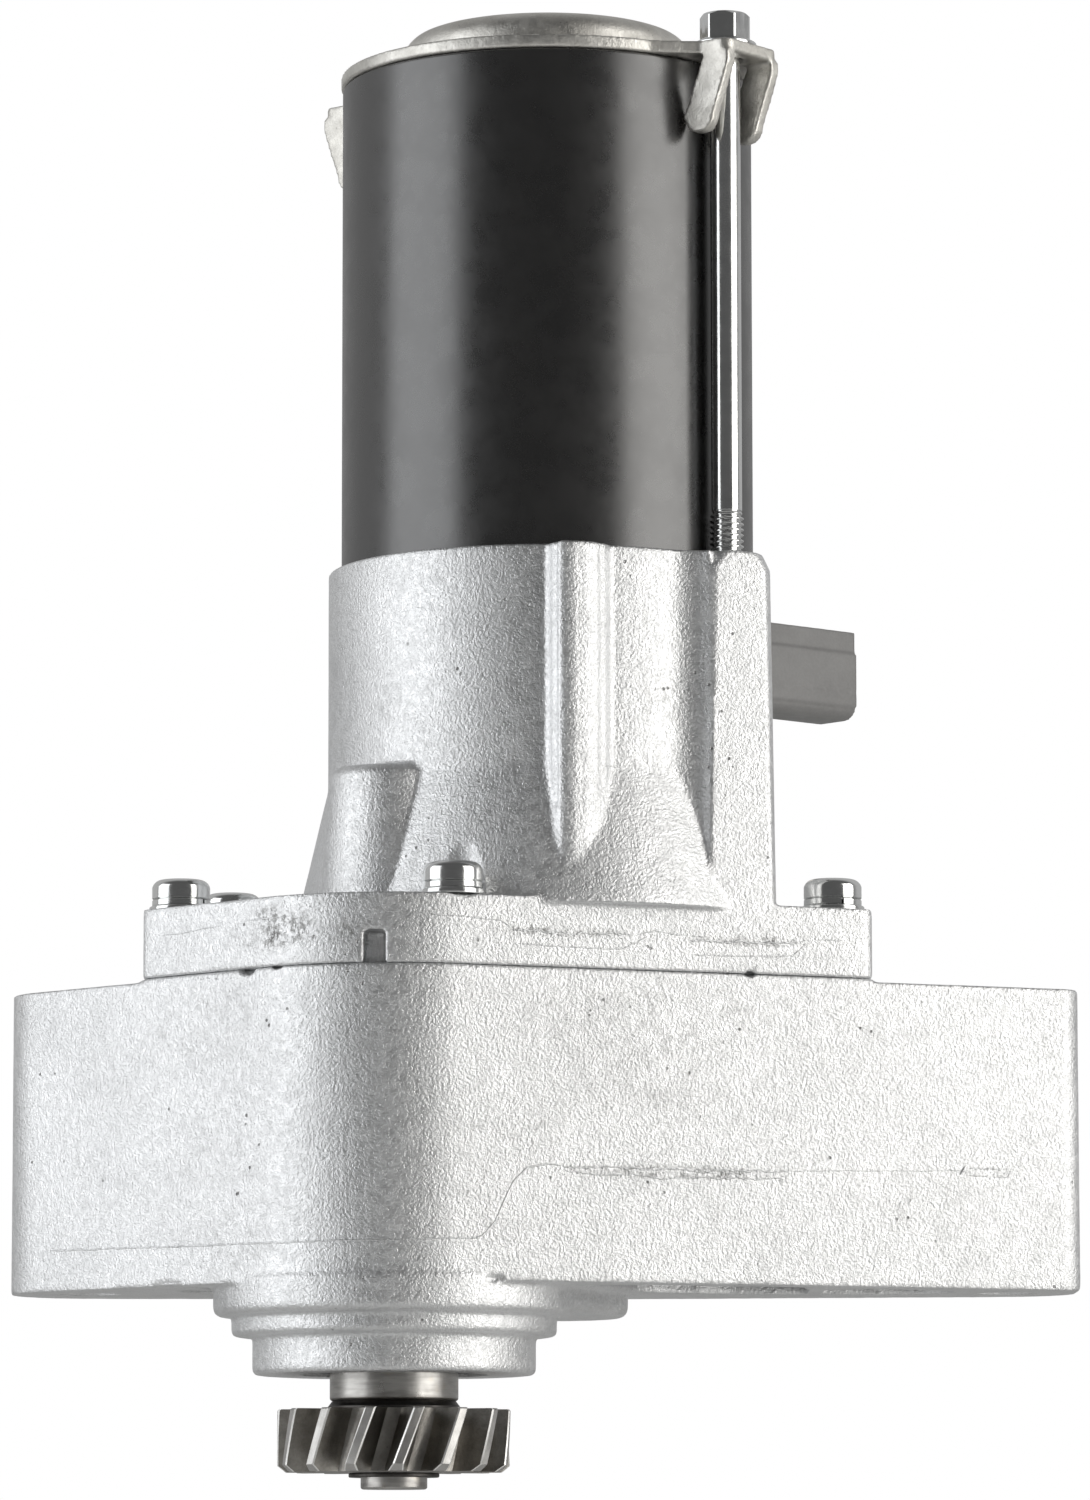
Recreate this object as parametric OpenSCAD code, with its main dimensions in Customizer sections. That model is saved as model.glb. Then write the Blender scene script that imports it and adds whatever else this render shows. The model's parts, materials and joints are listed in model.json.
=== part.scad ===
// Starter motor with an offset reduction drive, a sliding helical output pinion
// and a parallel solenoid. Origin: midway between the two mounting holes, on the
// mounting face. +Z runs from the mounting face up to the motor end.

/* [Mounting] */
// Distance between the two mounting holes
mount_span = 163; // [162:0.5:164]
// Radius of the mounting holes
mount_hole_r = 5.25; // [5:0.05:5.5]
// Height of the mounting ears
ear_h = 53.5; // [52.9:0.1:53.8]

/* [Castings] */
// Height of the joint plane between housing and bracket
joint_z = 54.1; // [53.8:0.1:54.3]
// Height of the top face of the bracket flange
flange_z = 66.3; // [66:0.1:66.6]
// Outer radius of the motor cup
cup_r = 39.3; // [39:0.1:40]
// Height of the rim of the motor cup
cup_z = 128.6; // [126:0.2:130]
// Radius of the front bulge of the housing
bulge_r = 31.1; // [31:0.1:31.3]
// Radius of the flare where the cup meets the flange
flare_r = 45; // [43:0.5:45]
// Radius of the output nose
nose_r = 24.7; // [24:0.1:25]

/* [Motor] */
// Outer radius of the yoke tube
yoke_r = 37; // [36.5:0.1:37]
// Height of the upper end of the yoke tube
yoke_z = 217.4; // [216:0.2:218]
// Wall of the yoke tube
yoke_wall = 3.2; // [2.6:0.1:3.2]
// Thickness of the end plate
plate_t = 2.3; // [2:0.1:2.5]
// Height of the dome above the end plate
dome_h = 7.3; // [7.2:0.1:8.2]
// Radius of the circle of the through bolts
bolt_pcd_r = 40.6; // [40.4:0.1:40.8]

/* [Drive] */
// Gear module
gear_m = 1.5; // [1.5:0.1:1.5]
// Teeth on the armature gear
z_arm = 11; // [11:1:11]
// Teeth on the idler gear
z_idler = 16; // [16:1:16]
// Teeth on the clutch gear
z_clutch = 27; // [27:1:27]
// Teeth on the output pinion
z_out = 15; // [13:1:16]
// Tip radius of the output pinion
out_tip_r = 20.3; // [19:0.1:20.5]
// Twist of the helical output pinion over its face width, clockwise positive
out_twist = -11.5; // [-14:0.5:-8]

/* [Hidden] */
$fn = 96;
PI2 = 57.29578;
AL = [0.78, 0.79, 0.80];
STEEL = [0.62, 0.62, 0.63];
DARK = [0.30, 0.29, 0.28];
ZINC = [0.72, 0.71, 0.68];
COPPER = [0.72, 0.42, 0.26];
PLASTIC = [0.26, 0.26, 0.27];
c_mp = 34.5;                                  // armature axis to output axis
M = [0, -5.3];                                // armature axis
u_mp = [-0.7772, -0.6293];
P = M + c_mp*u_mp;                            // output axis
S = [17.2, 54.5];                             // solenoid axis
c_mi = gear_m*(z_arm + z_idler)/2;
c_ip = gear_m*(z_idler + z_clutch)/2;
ia = (c_mi*c_mi - c_ip*c_ip + c_mp*c_mp)/(2*c_mp);
ih = sqrt(c_mi*c_mi - ia*ia);
I = M + ia*u_mp + ih*[u_mp[1], -u_mp[0]];     // idler axis
u_ps = (S - P)/norm(S - P);                   // lever direction
a_ps = atan2(u_ps[1], u_ps[0]);
arm = norm(S - P)/2;                          // length of each lever arm
Q = P + arm*u_ps;                             // lever pivot
pivot_z = 54;
half_travel = 6;
tilt = atan(half_travel/arm);
EL = [-mount_span/2 - 0.4, 2.9];              // centre of the left ear
ER = [mount_span/2 - 0.2, 0];                       // centre of the right ear
FC = [89.3, -8.25];
CL = [-68.5, -26.16];
CR = [54.5, -25.29];
BL = [-67, 10];
BR = [53, 10];
KR = [40, 28];
a_bolt = -38.8;
BOLTS = [M + bolt_pcd_r*[cos(a_bolt), sin(a_bolt)], M - bolt_pcd_r*[cos(a_bolt), sin(a_bolt)]];
SCREWS = [[-64.7, -21], [-16.3, -51], [50.3, -21], [-56.8, 3], KR];
DOWELS = [[-55, -18], [44, -8]];
PLATE_SCREWS = [M + 14.8*[cos(15), sin(15)], M + 14.8*[cos(-75), sin(-75)], I + 17.5*[cos(170), sin(170)]];
a_conn = 41;
conn_z = 114;                                 // underside of the plug socket
STUD_B = S + [8, 8];
STUD_M = S + [-13.2, -7.5];
LEAD = [[4, 37.7, 142], [4, 37.7, 148], [3.6, 37.7, 156], [2.6, 37.7, 168], [1.4, 37.7, 180],
        [0.4, 37.7, 191], [0, 37.9, 197], [0, 38, 200], [0, 37.6, 202.9], [0, 36.3, 205],
        [0, 34.6, 205.9], [0, 32.5, 206]];

module at(p, z = 0) { translate([p[0], p[1], z]) children(); }
module lever_frame(z = pivot_z) { translate([Q[0], Q[1], z]) rotate([0, 0, a_ps]) children(); }
module ring(ro, ri, z0, z1) {
    translate([0, 0, z0]) difference() {
        cylinder(r = ro, h = z1 - z0);
        translate([0, 0, -1]) cylinder(r = ri, h = z1 - z0 + 2);
    }
}
module disc(r, z0, z1) { translate([0, 0, z0]) cylinder(r = r, h = z1 - z0); }
// outline of two circles and their outer tangents
module capsule(a, ra, b, rb) {
    d = b - a;
    t = atan2(d[1], d[0]);
    w = acos((ra - rb)/norm(d));
    k = 0.9999;                               // keeps the sides a hair inside the circles
    translate(a) circle(r = ra);
    translate(b) circle(r = rb);
    polygon([a + k*ra*[cos(t + w), sin(t + w)], b + k*rb*[cos(t + w), sin(t + w)],
             b + k*rb*[cos(t - w), sin(t - w)], a + k*ra*[cos(t - w), sin(t - w)]]);
}
// half section of a disc with a rounded lower edge
module step2d(r, z0, z1, f) {
    translate([0, z0]) square([r - f, z1 - z0]);
    translate([0, z0 + f]) square([r, z1 - z0 - f]);
    translate([r - f, z0 + f]) circle(r = f, $fn = 32);
}
module balls(n, rc, r, z) { for (i = [0:n - 1]) rotate([0, 0, i*360/n]) translate([rc, 0, z]) sphere(r = r, $fn = 24); }

// ---- involute gears -------------------------------------------------------
function inv(a) = tan(a) - a/PI2;
function half_angle(z, r, thin) =            // half tooth angle at radius r
    let (rp = gear_m*z/2, rb = rp*cos(20), rr = max(r, rb))
    (90/z) - thin/rp*PI2/2 + (inv(20) - inv(acos(rb/rr)))*PI2;
function tooth(z, k, thin) =
    let (rp = gear_m*z/2, rt = rp + 0.8*gear_m, rr = rp - 1.0*gear_m, n = 5)
    concat([for (i = [0:n]) let (r = rr + (rt - rr)*i/n) r*[cos(k*360/z - half_angle(z, r, thin)), sin(k*360/z - half_angle(z, r, thin))]],
           [for (i = [n:-1:0]) let (r = rr + (rt - rr)*i/n) r*[cos(k*360/z + half_angle(z, r, thin)), sin(k*360/z + half_angle(z, r, thin))]]);
function gear_points(z, thin) = [for (k = [0:z - 1]) for (p = tooth(z, k, thin)) p];
module gear2d(z, phase, thin = 0.16) { rotate([0, 0, phase]) polygon(gear_points(z, thin)); }
a_mi = atan2(I[1] - M[1], I[0] - M[0]);
a_ip = atan2(P[1] - I[1], P[0] - I[0]);
ph_arm = a_mi;
ph_idler = a_mi + 180 - 180/z_idler;
d_ip = (a_ip - ph_idler) - floor((a_ip - ph_idler)/(360/z_idler))*(360/z_idler);
ph_clutch = a_ip + 180 + d_ip*z_idler/z_clutch - 180/z_clutch;

// ---- helical spring -------------------------------------------------------
module spring(r, wire, z0, z1, turns, seg = 14, sides = 6) {
    n = turns*seg;
    h = z1 - z0 - 2*wire;
    pts = [for (i = [0:n]) let (a = i*360/seg, z = z0 + wire + h*i/n)
           for (j = [0:sides - 1]) let (b = j*360/sides)
           [(r + wire*cos(b))*cos(a), (r + wire*cos(b))*sin(a), z + wire*sin(b)]];
    side = [for (i = [0:n - 1]) for (j = [0:sides - 1]) let (a = i*sides + j, b = i*sides + (j + 1)%sides)
            each [[a, b + sides, b], [a, a + sides, b + sides]]];
    polyhedron(points = pts, faces = concat([[for (j = [0:sides - 1]) j]], side,
               [[for (j = [0:sides - 1]) n*sides + sides - 1 - j]]), convexity = 8);
}
// tube swept along points
function unit(v) = v/norm(v);
module sweep(path, r, sides = 10) {
    n = len(path) - 1;
    tan_at = [for (i = [0:n]) unit(path[min(i + 1, n)] - path[max(i - 1, 0)])];
    pts = [for (i = [0:n]) let (t = tan_at[i], e1 = unit([1, 0, 0] - t[0]*t), e2 = cross(t, e1))
           for (j = [0:sides - 1]) path[i] + r*(cos(j*360/sides)*e1 + sin(j*360/sides)*e2)];
    side = [for (i = [0:n - 1]) for (j = [0:sides - 1]) let (a = i*sides + j, b = i*sides + (j + 1)%sides)
            each [[a, b + sides, b], [a, a + sides, b + sides]]];
    polyhedron(points = pts, faces = concat([[for (j = [0:sides - 1]) j]], side,
               [[for (j = [0:sides - 1]) n*sides + sides - 1 - j]]), convexity = 8);
}

// ---- castings -------------------------------------------------------------
module ear_outline() {
    capsule(P, bulge_r, EL, 14);
    capsule(P, bulge_r, FC, 5);
    capsule(FC, 5, ER, 12.8);
    capsule(M, 27.3, EL, 14);
    capsule(M, 27.3, ER, 12.8);
    capsule(P, bulge_r, M, 27.3);
}
module rear_outline() {
    capsule([4, 14], 19, S, 17);
    capsule(M, 22, KR, 7.5);
}
module joint_outline() {
    capsule(P, bulge_r, CL, 2.5);
    capsule(P, bulge_r, CR, 2.5);
    capsule(CL, 2.5, BL, 4);
    capsule(CR, 2.5, BR, 4);
    capsule(M, 40, BL, 4);
    capsule(M, 40, BR, 4);
    capsule(M, 40, S, 24);
    capsule(M, 40, KR, 7.5);
    polygon([P, CL, BL, M, BR, CR]);
}
module lever_space() {                        // plan of the shift lever chamber
    capsule(P, 22.6, P + 22*u_ps, 20.5);
    capsule(P, 10.5, S, 10.5);
}
module plate_space(g, z, h) {                 // centre plate, or its recess, from z up
    translate([0, 0, z]) {
        linear_extrude(h) capsule(P, 22.3 + g, M, 19 + g);
        linear_extrude(h) capsule(P, 22.1 + g, I, 13 + g);
        linear_extrude(h) capsule(M, 18.8 + g, I, 12.8 + g);
        linear_extrude(h) capsule(I, 12.6 + g, PLATE_SCREWS[2], 5.5 + g);
    }
}
// cored pockets that open at the mounting face
module pockets() {
    difference() {
        union() {
            capsule([-61, -22], 6, [-54, -10], 10);
            capsule([36, -14], 15, [63, -6], 9);
            capsule([28, -16], 14, [14, -28], 9);
        }
        translate([46, -40]) square([3, 60]);
        translate([-57.5, -14]) rotate([0, 0, 35]) square([12, 2.6], center = true);
        capsule(P, 31.8, M, 16);
        for (p = SCREWS) translate(p) circle(r = 5.5);
    }
}
module gear_housing() color(AL) difference() {
    union() {
        linear_extrude(ear_h) ear_outline();
        translate([0, 0, 8]) linear_extrude(ear_h - 8) rear_outline();
        translate([0, 0, ear_h]) linear_extrude(joint_z - ear_h) intersection() {
            joint_outline();
            union() { ear_outline(); rear_outline(); }
        }
        at(P) rotate_extrude() { step2d(31.55, -5.1, 1, 1.4); step2d(28.35, -8.6, 0, 0.9); step2d(nose_r, -15.25, 0, 0.9); }
        at(M) rotate_extrude() step2d(14.2, -4.5, 1, 1.8);
        // lower ring runs on around the armature boss
        for (q = [[-2.7, 0.1], [-3.4, 0.3], [-4.05, 0.85], [-4.5, 1.7]])
            translate([0, 0, q[0]]) linear_extrude(1 - q[0]) capsule(P, 31.5 - q[1], M, 14.1 - q[1]);
    }
    for (s = [-1, 1]) at([s*mount_span/2, 0], -1) cylinder(r = mount_hole_r, h = ear_h + 2);
    // output bore: seal, bush, bearing seat, gear chamber
    at(P) {
        disc(16, -16, -8.8);
        disc(13.5, -9, 11);
        disc(16, 10.9, 17);
        disc(22.6, 17, 35);
    }
    // idler and armature gear chambers
    at(I) { disc(14, 17, 35); disc(4, 6, 18); }
    at(M) { disc(10.3, 10, 35); disc(9, -2.2, 11); disc(6.5, -2.8, 0); }
    plate_space(0.25, 34, joint_z - 33);
    translate([0, 0, 41.3]) linear_extrude(joint_z - 40) lever_space();
    for (p = SCREWS) at(p, 43) cylinder(r = 2.5, h = 15, $fn = 48);
    for (p = DOWELS) at(p, 47) cylinder(r = 3, h = 10, $fn = 48);
    for (p = PLATE_SCREWS) at(p, 25) cylinder(r = 2, h = 12, $fn = 48);
    translate([0, 0, -1]) linear_extrude(32) pockets();
}
// hollow between the cup and a bolt boss
module blend2d(b, side, f = 8) {
    d = norm(b - M);
    u = (b - M)/d;
    v = side*[-u[1], u[0]];
    d1 = cup_r + f;
    d2 = 7.9 + f;
    t = acos((d1*d1 + d*d - d2*d2)/(2*d1*d));
    w = cos(t)*u + sin(t)*v;
    c = M + d1*w;
    difference() {
        polygon([M + 30*u, M + (cup_r - 0.5)*w, c, b]);
        translate(c) circle(r = f);
    }
}
module motor_bracket() color(AL) difference() {
    union() {
        translate([0, 0, joint_z]) linear_extrude(flange_z - joint_z) joint_outline();
        at(M, joint_z) cylinder(r = cup_r, h = cup_z - joint_z);
        intersection() {
            at(M, flange_z - 1) cylinder(r1 = flare_r, r2 = cup_r, h = 90.5 - flange_z);
            translate([-60, -60, 60]) cube([99.2, 120, 60]);
        }
        // bolt bosses stand on the flange and lean in towards the top
        intersection() {
            union() for (b = BOLTS) {
                at(b, flange_z - 1) cylinder(r1 = 8.4, r2 = 7.6, h = cup_z - flange_z - 2);
                at(b, cup_z - 3.01) cylinder(r1 = 7.6, r2 = 6.2, h = 2.96);
                for (s = [-1, 1]) translate([0, 0, flange_z - 1]) linear_extrude(cup_z - flange_z + 0.9) blend2d(b, s);
            }
            translate([0, 0, 60]) linear_extrude(80) joint_outline();
        }
        translate([0, 0, flange_z - 1]) linear_extrude(cup_z - flange_z + 1) polygon([
            [-0.1, -38], [-0.1, -44.6], [0.7, -46], [1.5, -47.7], [2.2, -48.35], [3.1, -48.6], [4.7, -48.4],
            [7, -47.5], [9, -46.2], [9.9, -45.2], [10.6, -43.9], [11, -42.9], [11, -38]]);
        at(P, flange_z - 1) cylinder(r1 = 13.3, r2 = 11.6, h = 90.6 - flange_z);
        at(P, 89.59) cylinder(r1 = 11.6, r2 = 10.4, h = 1.4);
    }
    // creases down the rib
    at([1.2, -47.3], 82) cylinder(r = 0.65, h = 60, $fn = 32);
    at([9.55, -45.85], 84) cylinder(r = 0.65, h = 60, $fn = 32);
    // room for the solenoid and for the screw heads
    at(S, flange_z) cylinder(r = 22.4, h = 80);
    for (p = SCREWS) at(p) { disc(2.75, 50, 70); disc(6.2, flange_z, 82); }
    // motor register, inner cup and front bearing seat
    at(M) {
        disc(yoke_r + 0.03, 92, cup_z + 1);
        difference() {
            ring(33, 20, 72, 93);
            translate([P[0] - M[0], P[1] - M[1], 0]) cylinder(r = 13.5, h = 92);
        }
        disc(16, 78, 93);
        disc(8, joint_z - 1, 80);
    }
    // lever chamber, top bush and shaft space
    translate([0, 0, joint_z - 1]) linear_extrude(10.4) lever_space();
    translate([0, 0, 60]) linear_extrude(10) capsule(S - 8*u_ps, 10.5, S + 4*u_ps, 10.5);
    at(P) { disc(12.6, 60, 68); disc(8.5, 67, 78); disc(6.8, 77, 89.5); }
    for (b = BOLTS) at(b, 106) cylinder(r = 3, h = 24, $fn = 48);
    for (p = DOWELS) at(p, 50) cylinder(r = 3, h = 11, $fn = 48);
    // drain notch in the front edge
    translate([-29.6 - 1.85, -62, joint_z - 1]) cube([3.7, 8.6, 6.7]);
}
module housing_dowels() color(STEEL) for (p = DOWELS) at(p, 47.5) cylinder(r = 2.99, h = 13, $fn = 48);
module cap_screw(p, z) {                      // pan head screw over its washers, head seat at z
    at(p) {
        disc(2.48, 44, z + 0.5);
        translate([0, 0, z]) rotate_extrude($fn = 48) difference() {
            union() { square([5.1, 1.9]); square([3.5, 3.6]); intersection() { translate([3.4, 1.9]) circle(r = 1.7, $fn = 32); square([5.1, 3.6]); } }
            translate([0, 2.1]) square([0.9, 3]);
        }
    }
}
module bracket_screws() color(ZINC) for (p = SCREWS) cap_screw(p, flange_z + 2.2);
module screw_spring_washers() color(ZINC) for (p = SCREWS) at(p) ring(5.15, 2.6, flange_z + 1, flange_z + 2.19);
module screw_plain_washers() color(ZINC) for (p = SCREWS) at(p) ring(5.6, 2.6, flange_z + 0.01, flange_z + 0.99);

// ---- motor ----------------------------------------------------------------
module yoke() color([0.05, 0.05, 0.05]) difference() {
    at(M) ring(yoke_r, yoke_r - yoke_wall, 92.1, yoke_z);
    translate([0, 40, 206]) rotate([90, 0, 0]) cylinder(r = 4.2, h = 20, $fn = 48);
}
module field_magnets() color([0.18, 0.18, 0.19]) at(M) for (i = [0:5]) rotate([0, 0, i*60])
    translate([0, 0, 110]) rotate_extrude(angle = 48) translate([31, 0]) square([2.78, 62]);
module tab(s) {                               // bent fork tab beside the bolt
    translate([0, s*6.45 + 1.15, 0]) rotate([90, 0, 0]) linear_extrude(2.3) {
        polygon([[41.6, yoke_z + 0.2], [46.9, yoke_z + 0.2], [47, 215.6], [45.8, 212.2], [44.5, 208.8], [43.5, 206.2],
                 [40.4, 203.6], [37.3, 206.1], [38.5, 210], [40.5, 215]]);
        translate([40.4, 206.45]) circle(r = 3.15, $fn = 48);
    }
}
module end_plate() color(ZINC) difference() {
    union() {
        at(M) {
            disc(yoke_r + 0.3, yoke_z, yoke_z + plate_t);
            for (a = [a_bolt, a_bolt + 180]) rotate([0, 0, a]) {
                translate([30, -7.6, yoke_z]) cube([15, 15.2, plate_t]);
                translate([40, -5.7, yoke_z]) cube([6.9, 11.4, plate_t]);
                for (s = [-1, 1]) translate([45, s*5.7, yoke_z]) cylinder(r = 1.9, h = plate_t, $fn = 48);
                translate([0, 0, yoke_z]) linear_extrude(plate_t) polygon([[30, -12], [34.5, -14], [41, -7.5], [41, 7.5], [34.5, 14], [30, 12]]);
                tab(1);
                tab(-1);
            }
            translate([0, 0, yoke_z + plate_t]) rotate_extrude() {
                square([22, dome_h]);
                square([26.2, dome_h - 4.2]);
                translate([22, dome_h - 4.2]) intersection() { circle(r = 4.2, $fn = 64); square(5); }
            }
        }
    }
    at(M) {
        difference() { disc(23.6, yoke_z - 1, yoke_z + plate_t + dome_h - 2); ring(11, 8.5, yoke_z - 2, 240); }
        disc(8.5, yoke_z - 1, yoke_z + plate_t + dome_h - 2);
    }
    for (b = BOLTS) at(b, yoke_z - 1) cylinder(r = 3.05, h = 6, $fn = 48);
}
module through_bolts() color(ZINC) for (b = BOLTS) at(b) {
    disc(2.97, 107, 136.4);
    disc(2.7, 136.4, yoke_z + plate_t + 1);
    disc(5.6, yoke_z + plate_t + 0.01, yoke_z + plate_t + 1.3);
    translate([0, 0, yoke_z + plate_t + 1.3]) rotate([0, 0, 8]) cylinder(d = 8/cos(30), h = 4.8, $fn = 6);
}
module rear_bush() color([0.55, 0.42, 0.28]) at(M) ring(8.48, 6.04, yoke_z + plate_t, yoke_z + plate_t + dome_h - 2.2);
module brush_holder() color([0.22, 0.15, 0.10]) at(M) difference() {
    union() {
        ring(33.4, 20, 205, 208);
        for (i = [0:3]) rotate([0, 0, 45 + i*90]) translate([17, -5.5, 188]) cube([12.5, 11, 18]);
    }
    for (i = [0:3]) rotate([0, 0, 45 + i*90]) translate([14, -3.6, 190.5]) cube([18, 7.2, 14]);
}
module brushes() color([0.18, 0.16, 0.15]) at(M) for (i = [0:3]) rotate([0, 0, 45 + i*90])
    translate([15.3, -3.5, 190.7]) cube([9.2, 7, 13.5]);
module brush_springs() color(STEEL) at(M) for (i = [0:3]) rotate([0, 0, 45 + i*90]) translate([24.7, 0, 197.5])
    rotate([0, 90, 0]) for (k = [0:3]) rotate_extrude($fn = 32) translate([2.4, 0.5 + k*1.0]) circle(r = 0.5, $fn = 16);
module armature_shaft() color(STEEL) at(M) { disc(6, -2, 224.4); }
module armature_core() color([0.35, 0.33, 0.32]) at(M) difference() {
    ring(30.3, 6.01, 112, 170);
    for (i = [0:15]) rotate([0, 0, i*22.5]) translate([20.5, -1.8, 111]) cube([12, 3.6, 60]);
}
module armature_winding() color(COPPER) at(M) {
    ring(28.5, 9, 99, 111.98);
    ring(27, 16.5, 170.02, 181);
    for (i = [0:15]) rotate([0, 0, i*22.5]) translate([20.7, -1.7, 111.9]) cube([7.3, 3.4, 58.2]);
}
module commutator() color(COPPER) at(M) difference() {
    union() { ring(15.2, 6.01, 186, 205); ring(17.2, 6.01, 182, 186); }
    for (i = [0:15]) rotate([0, 0, i*22.5]) translate([12.4, -0.35, 181]) cube([8, 0.7, 26]);
}
module armature_gear() color(STEEL) at(M) difference() {
    translate([0, 0, 17.3]) linear_extrude(15.7) gear2d(z_arm, ph_arm);
    disc(6.01, 0, 60);
}
module front_bearing_outer_ring() color(STEEL) at(M) ring(15.98, 13.2, 78, 88);
module front_bearing_inner_ring() color(STEEL) at(M) ring(8.8, 6.01, 78.1, 87.9);
module front_bearing_balls() color(STEEL) at(M) balls(8, 11, 2.15, 83);
module end_bush() color([0.55, 0.42, 0.28]) at(M) ring(8.98, 6.04, -2.1, 8);
module center_plate() color(AL) difference() {
    plate_space(0, 34, 7);
    at(P) disc(16, 30, 50);
    at(M) disc(10.3, 30, 50);
    at(I) disc(4, 30, 50);
    for (p = PLATE_SCREWS) at(p) disc(2.2, 30, 50);
}
module center_plate_screws() color(ZINC) for (p = PLATE_SCREWS) at(p) {
    disc(1.98, 27, 41.1);
    difference() { disc(3.6, 41.01, 43.2); translate([0, 0, 42.2]) cylinder(r = 1.7, h = 3, $fn = 6); }
}

// ---- reduction and overrunning clutch -------------------------------------
module idler_pin() color(STEEL) at(I) disc(3.98, 6.2, 40.9);
module idler_bearing() color(STEEL) at(I) ring(6.2, 4.04, 18.4, 31.6);
module idler_gear() color(STEEL) at(I) difference() {
    translate([0, 0, 17.6]) linear_extrude(15) gear2d(z_idler, ph_idler);
    disc(6.24, 0, 60);
}
module clutch_gear() color(STEEL) at(P) difference() {
    translate([0, 0, 17.8]) linear_extrude(14.6) gear2d(z_clutch, ph_clutch);
    disc(16.4, 18.8, 40);
    disc(11.2, 0, 40);
}
module clutch_rollers() color(STEEL) at(P) for (i = [0:8]) rotate([0, 0, i*40]) translate([13.96, 0, 19]) cylinder(r = 2.38, h = 11.6, $fn = 32);
module clutch_cover() color(ZINC) at(P) ring(16.38, 11.7, 30.8, 32.3);
module clutch_inner() color(STEEL) at(P) difference() {
    union() { disc(10, 11.2, 41); disc(11.55, 18.9, 30.7); }
    disc(8.05, 10, 18);
    disc(8.05, 28, 45);
    translate([0, 0, 17.9]) linear_extrude(10.2) difference() {
        circle(r = 8.05);
        for (i = [0:11]) rotate([0, 0, i*30 + 15]) translate([7.06, -0.8]) square([1.5, 1.6]);
    }
}
module clutch_bearing_outer_rings() color(STEEL) at(P) { ring(15.98, 14.4, 11, 16.9); ring(15.98, 14.4, 34.1, 41); }
module clutch_bearing_inner_rings() color(STEEL) at(P) { ring(11.7, 10.02, 11.2, 16.9); ring(11.7, 10.02, 34.1, 40.9); }
module clutch_bearing_balls() color(STEEL) at(P) { balls(12, 13.05, 1.32, 14); balls(12, 13.05, 1.32, 37.5); }
module nose_bush() color([0.55, 0.42, 0.28]) at(P) ring(13.48, 11.25, -8.7, 1.5);
module oil_seal() color(DARK) at(P) { ring(15.98, 12.5, -14.6, -9); ring(12.5, 11.24, -13.4, -11.6); }
module top_bush() color([0.55, 0.42, 0.28]) at(P) ring(8.48, 6.04, 68.2, 77.8);

// ---- output ---------------------------------------------------------------
module pinion_shaft() color(STEEL) at(P) {
    disc(5.8, -35, -31);
    disc(8, -32.2, -19);
    disc(11.2, -19.7, 9.5);
    translate([0, 0, 9.4]) linear_extrude(28.6) difference() {
        circle(r = 7.95);
        for (i = [0:11]) rotate([0, 0, i*30 + 15]) translate([6.9, -0.95]) square([3, 1.9]);
    }
    disc(6, 37.9, 88);
}
module output_pinion() color([0.36, 0.34, 0.32]) at(P, -32.05) difference() {
    rotate([0, 0, 8.2]) linear_extrude(height = 10.85, twist = out_twist, slices = 8) polygon([
        for (k = [0:z_out - 1]) for (p = [[15.1, -7.4], [16.2, -5.9], [18.0, -4.5], [out_tip_r, -2.6], [out_tip_r, 2.6], [18.0, 4.5], [16.2, 5.9], [15.1, 7.4]])
            p[0]*[cos(k*360/z_out + p[1]), sin(k*360/z_out + p[1])]]);
    disc(8.02, -1, 12);
}
module pinion_spacer() color(DARK) at(P) ring(10.6, 8.02, -21.19, -19.71);
module pinion_washer() color(DARK) at(P) ring(7.9, 5.82, -32.95, -32.21);
module shift_collar() color(ZINC) at(P) difference() {
    union() { disc(9, 54.4, 65.6); disc(12, 54.4, 56.9); disc(12, 63.1, 65.6); }
    disc(6.04, 50, 70);
}
module collar_snap_rings() color(DARK) at(P) { ring(7.4, 6.01, 52.7, 54.2); ring(7.4, 6.01, 65.8, 67.3); }

// ---- shift lever ----------------------------------------------------------
module cross_pin(x, r, y0, y1) { translate([x, y0, 0]) rotate([-90, 0, 0]) cylinder(r = r, h = y1 - y0, $fn = 48); }
module shift_lever() color(ZINC) lever_frame() rotate([0, tilt, 0]) difference() {
    union() {
        translate([-23, -5, -4]) cube([58, 10, 8]);
        cross_pin(0, 7, -6, 6);
        translate([-28, -17.3, -3]) cube([6, 34.6, 6]);
        for (s = [-1, 1]) {
            translate([-46.3, s > 0 ? 12.4 : -17.3, -3]) cube([22, 4.9, 6]);
            translate([-46.3, s > 0 ? 12.4 : -17.3, 0]) rotate([-90, 0, 0]) cylinder(r = 3, h = 4.9, $fn = 48);
            cross_pin(-46.3, 2.8, s > 0 ? 9.3 : -12.5, s > 0 ? 12.5 : -9.3);
            translate([34, s > 0 ? 4.7 : -8.6, -4.5]) cube([16, 3.9, 9]);
        }
        translate([34, -8.6, -4.5]) cube([5, 17.2, 9]);
    }
    cross_pin(0, 3.05, -10, 10);
    translate([43.2, -10, -2.66]) cube([10, 20, 5.32]);
}
module lever_holder() color(ZINC) lever_frame(0) difference() {
    union() {
        for (s = [-1, 1]) translate([-6.5, s > 0 ? 6.3 : -9.3, 49.6]) cube([13, 3, 13.8]);
        translate([-6.5, -9.3, 61.4]) cube([13, 18.6, 2.08]);
    }
    translate([0, 0, pivot_z]) cross_pin(0, 3.02, -12, 12);
}
module pivot_pin() color(STEEL) lever_frame() { cross_pin(0, 3, -9.8, 9.8); }

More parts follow.
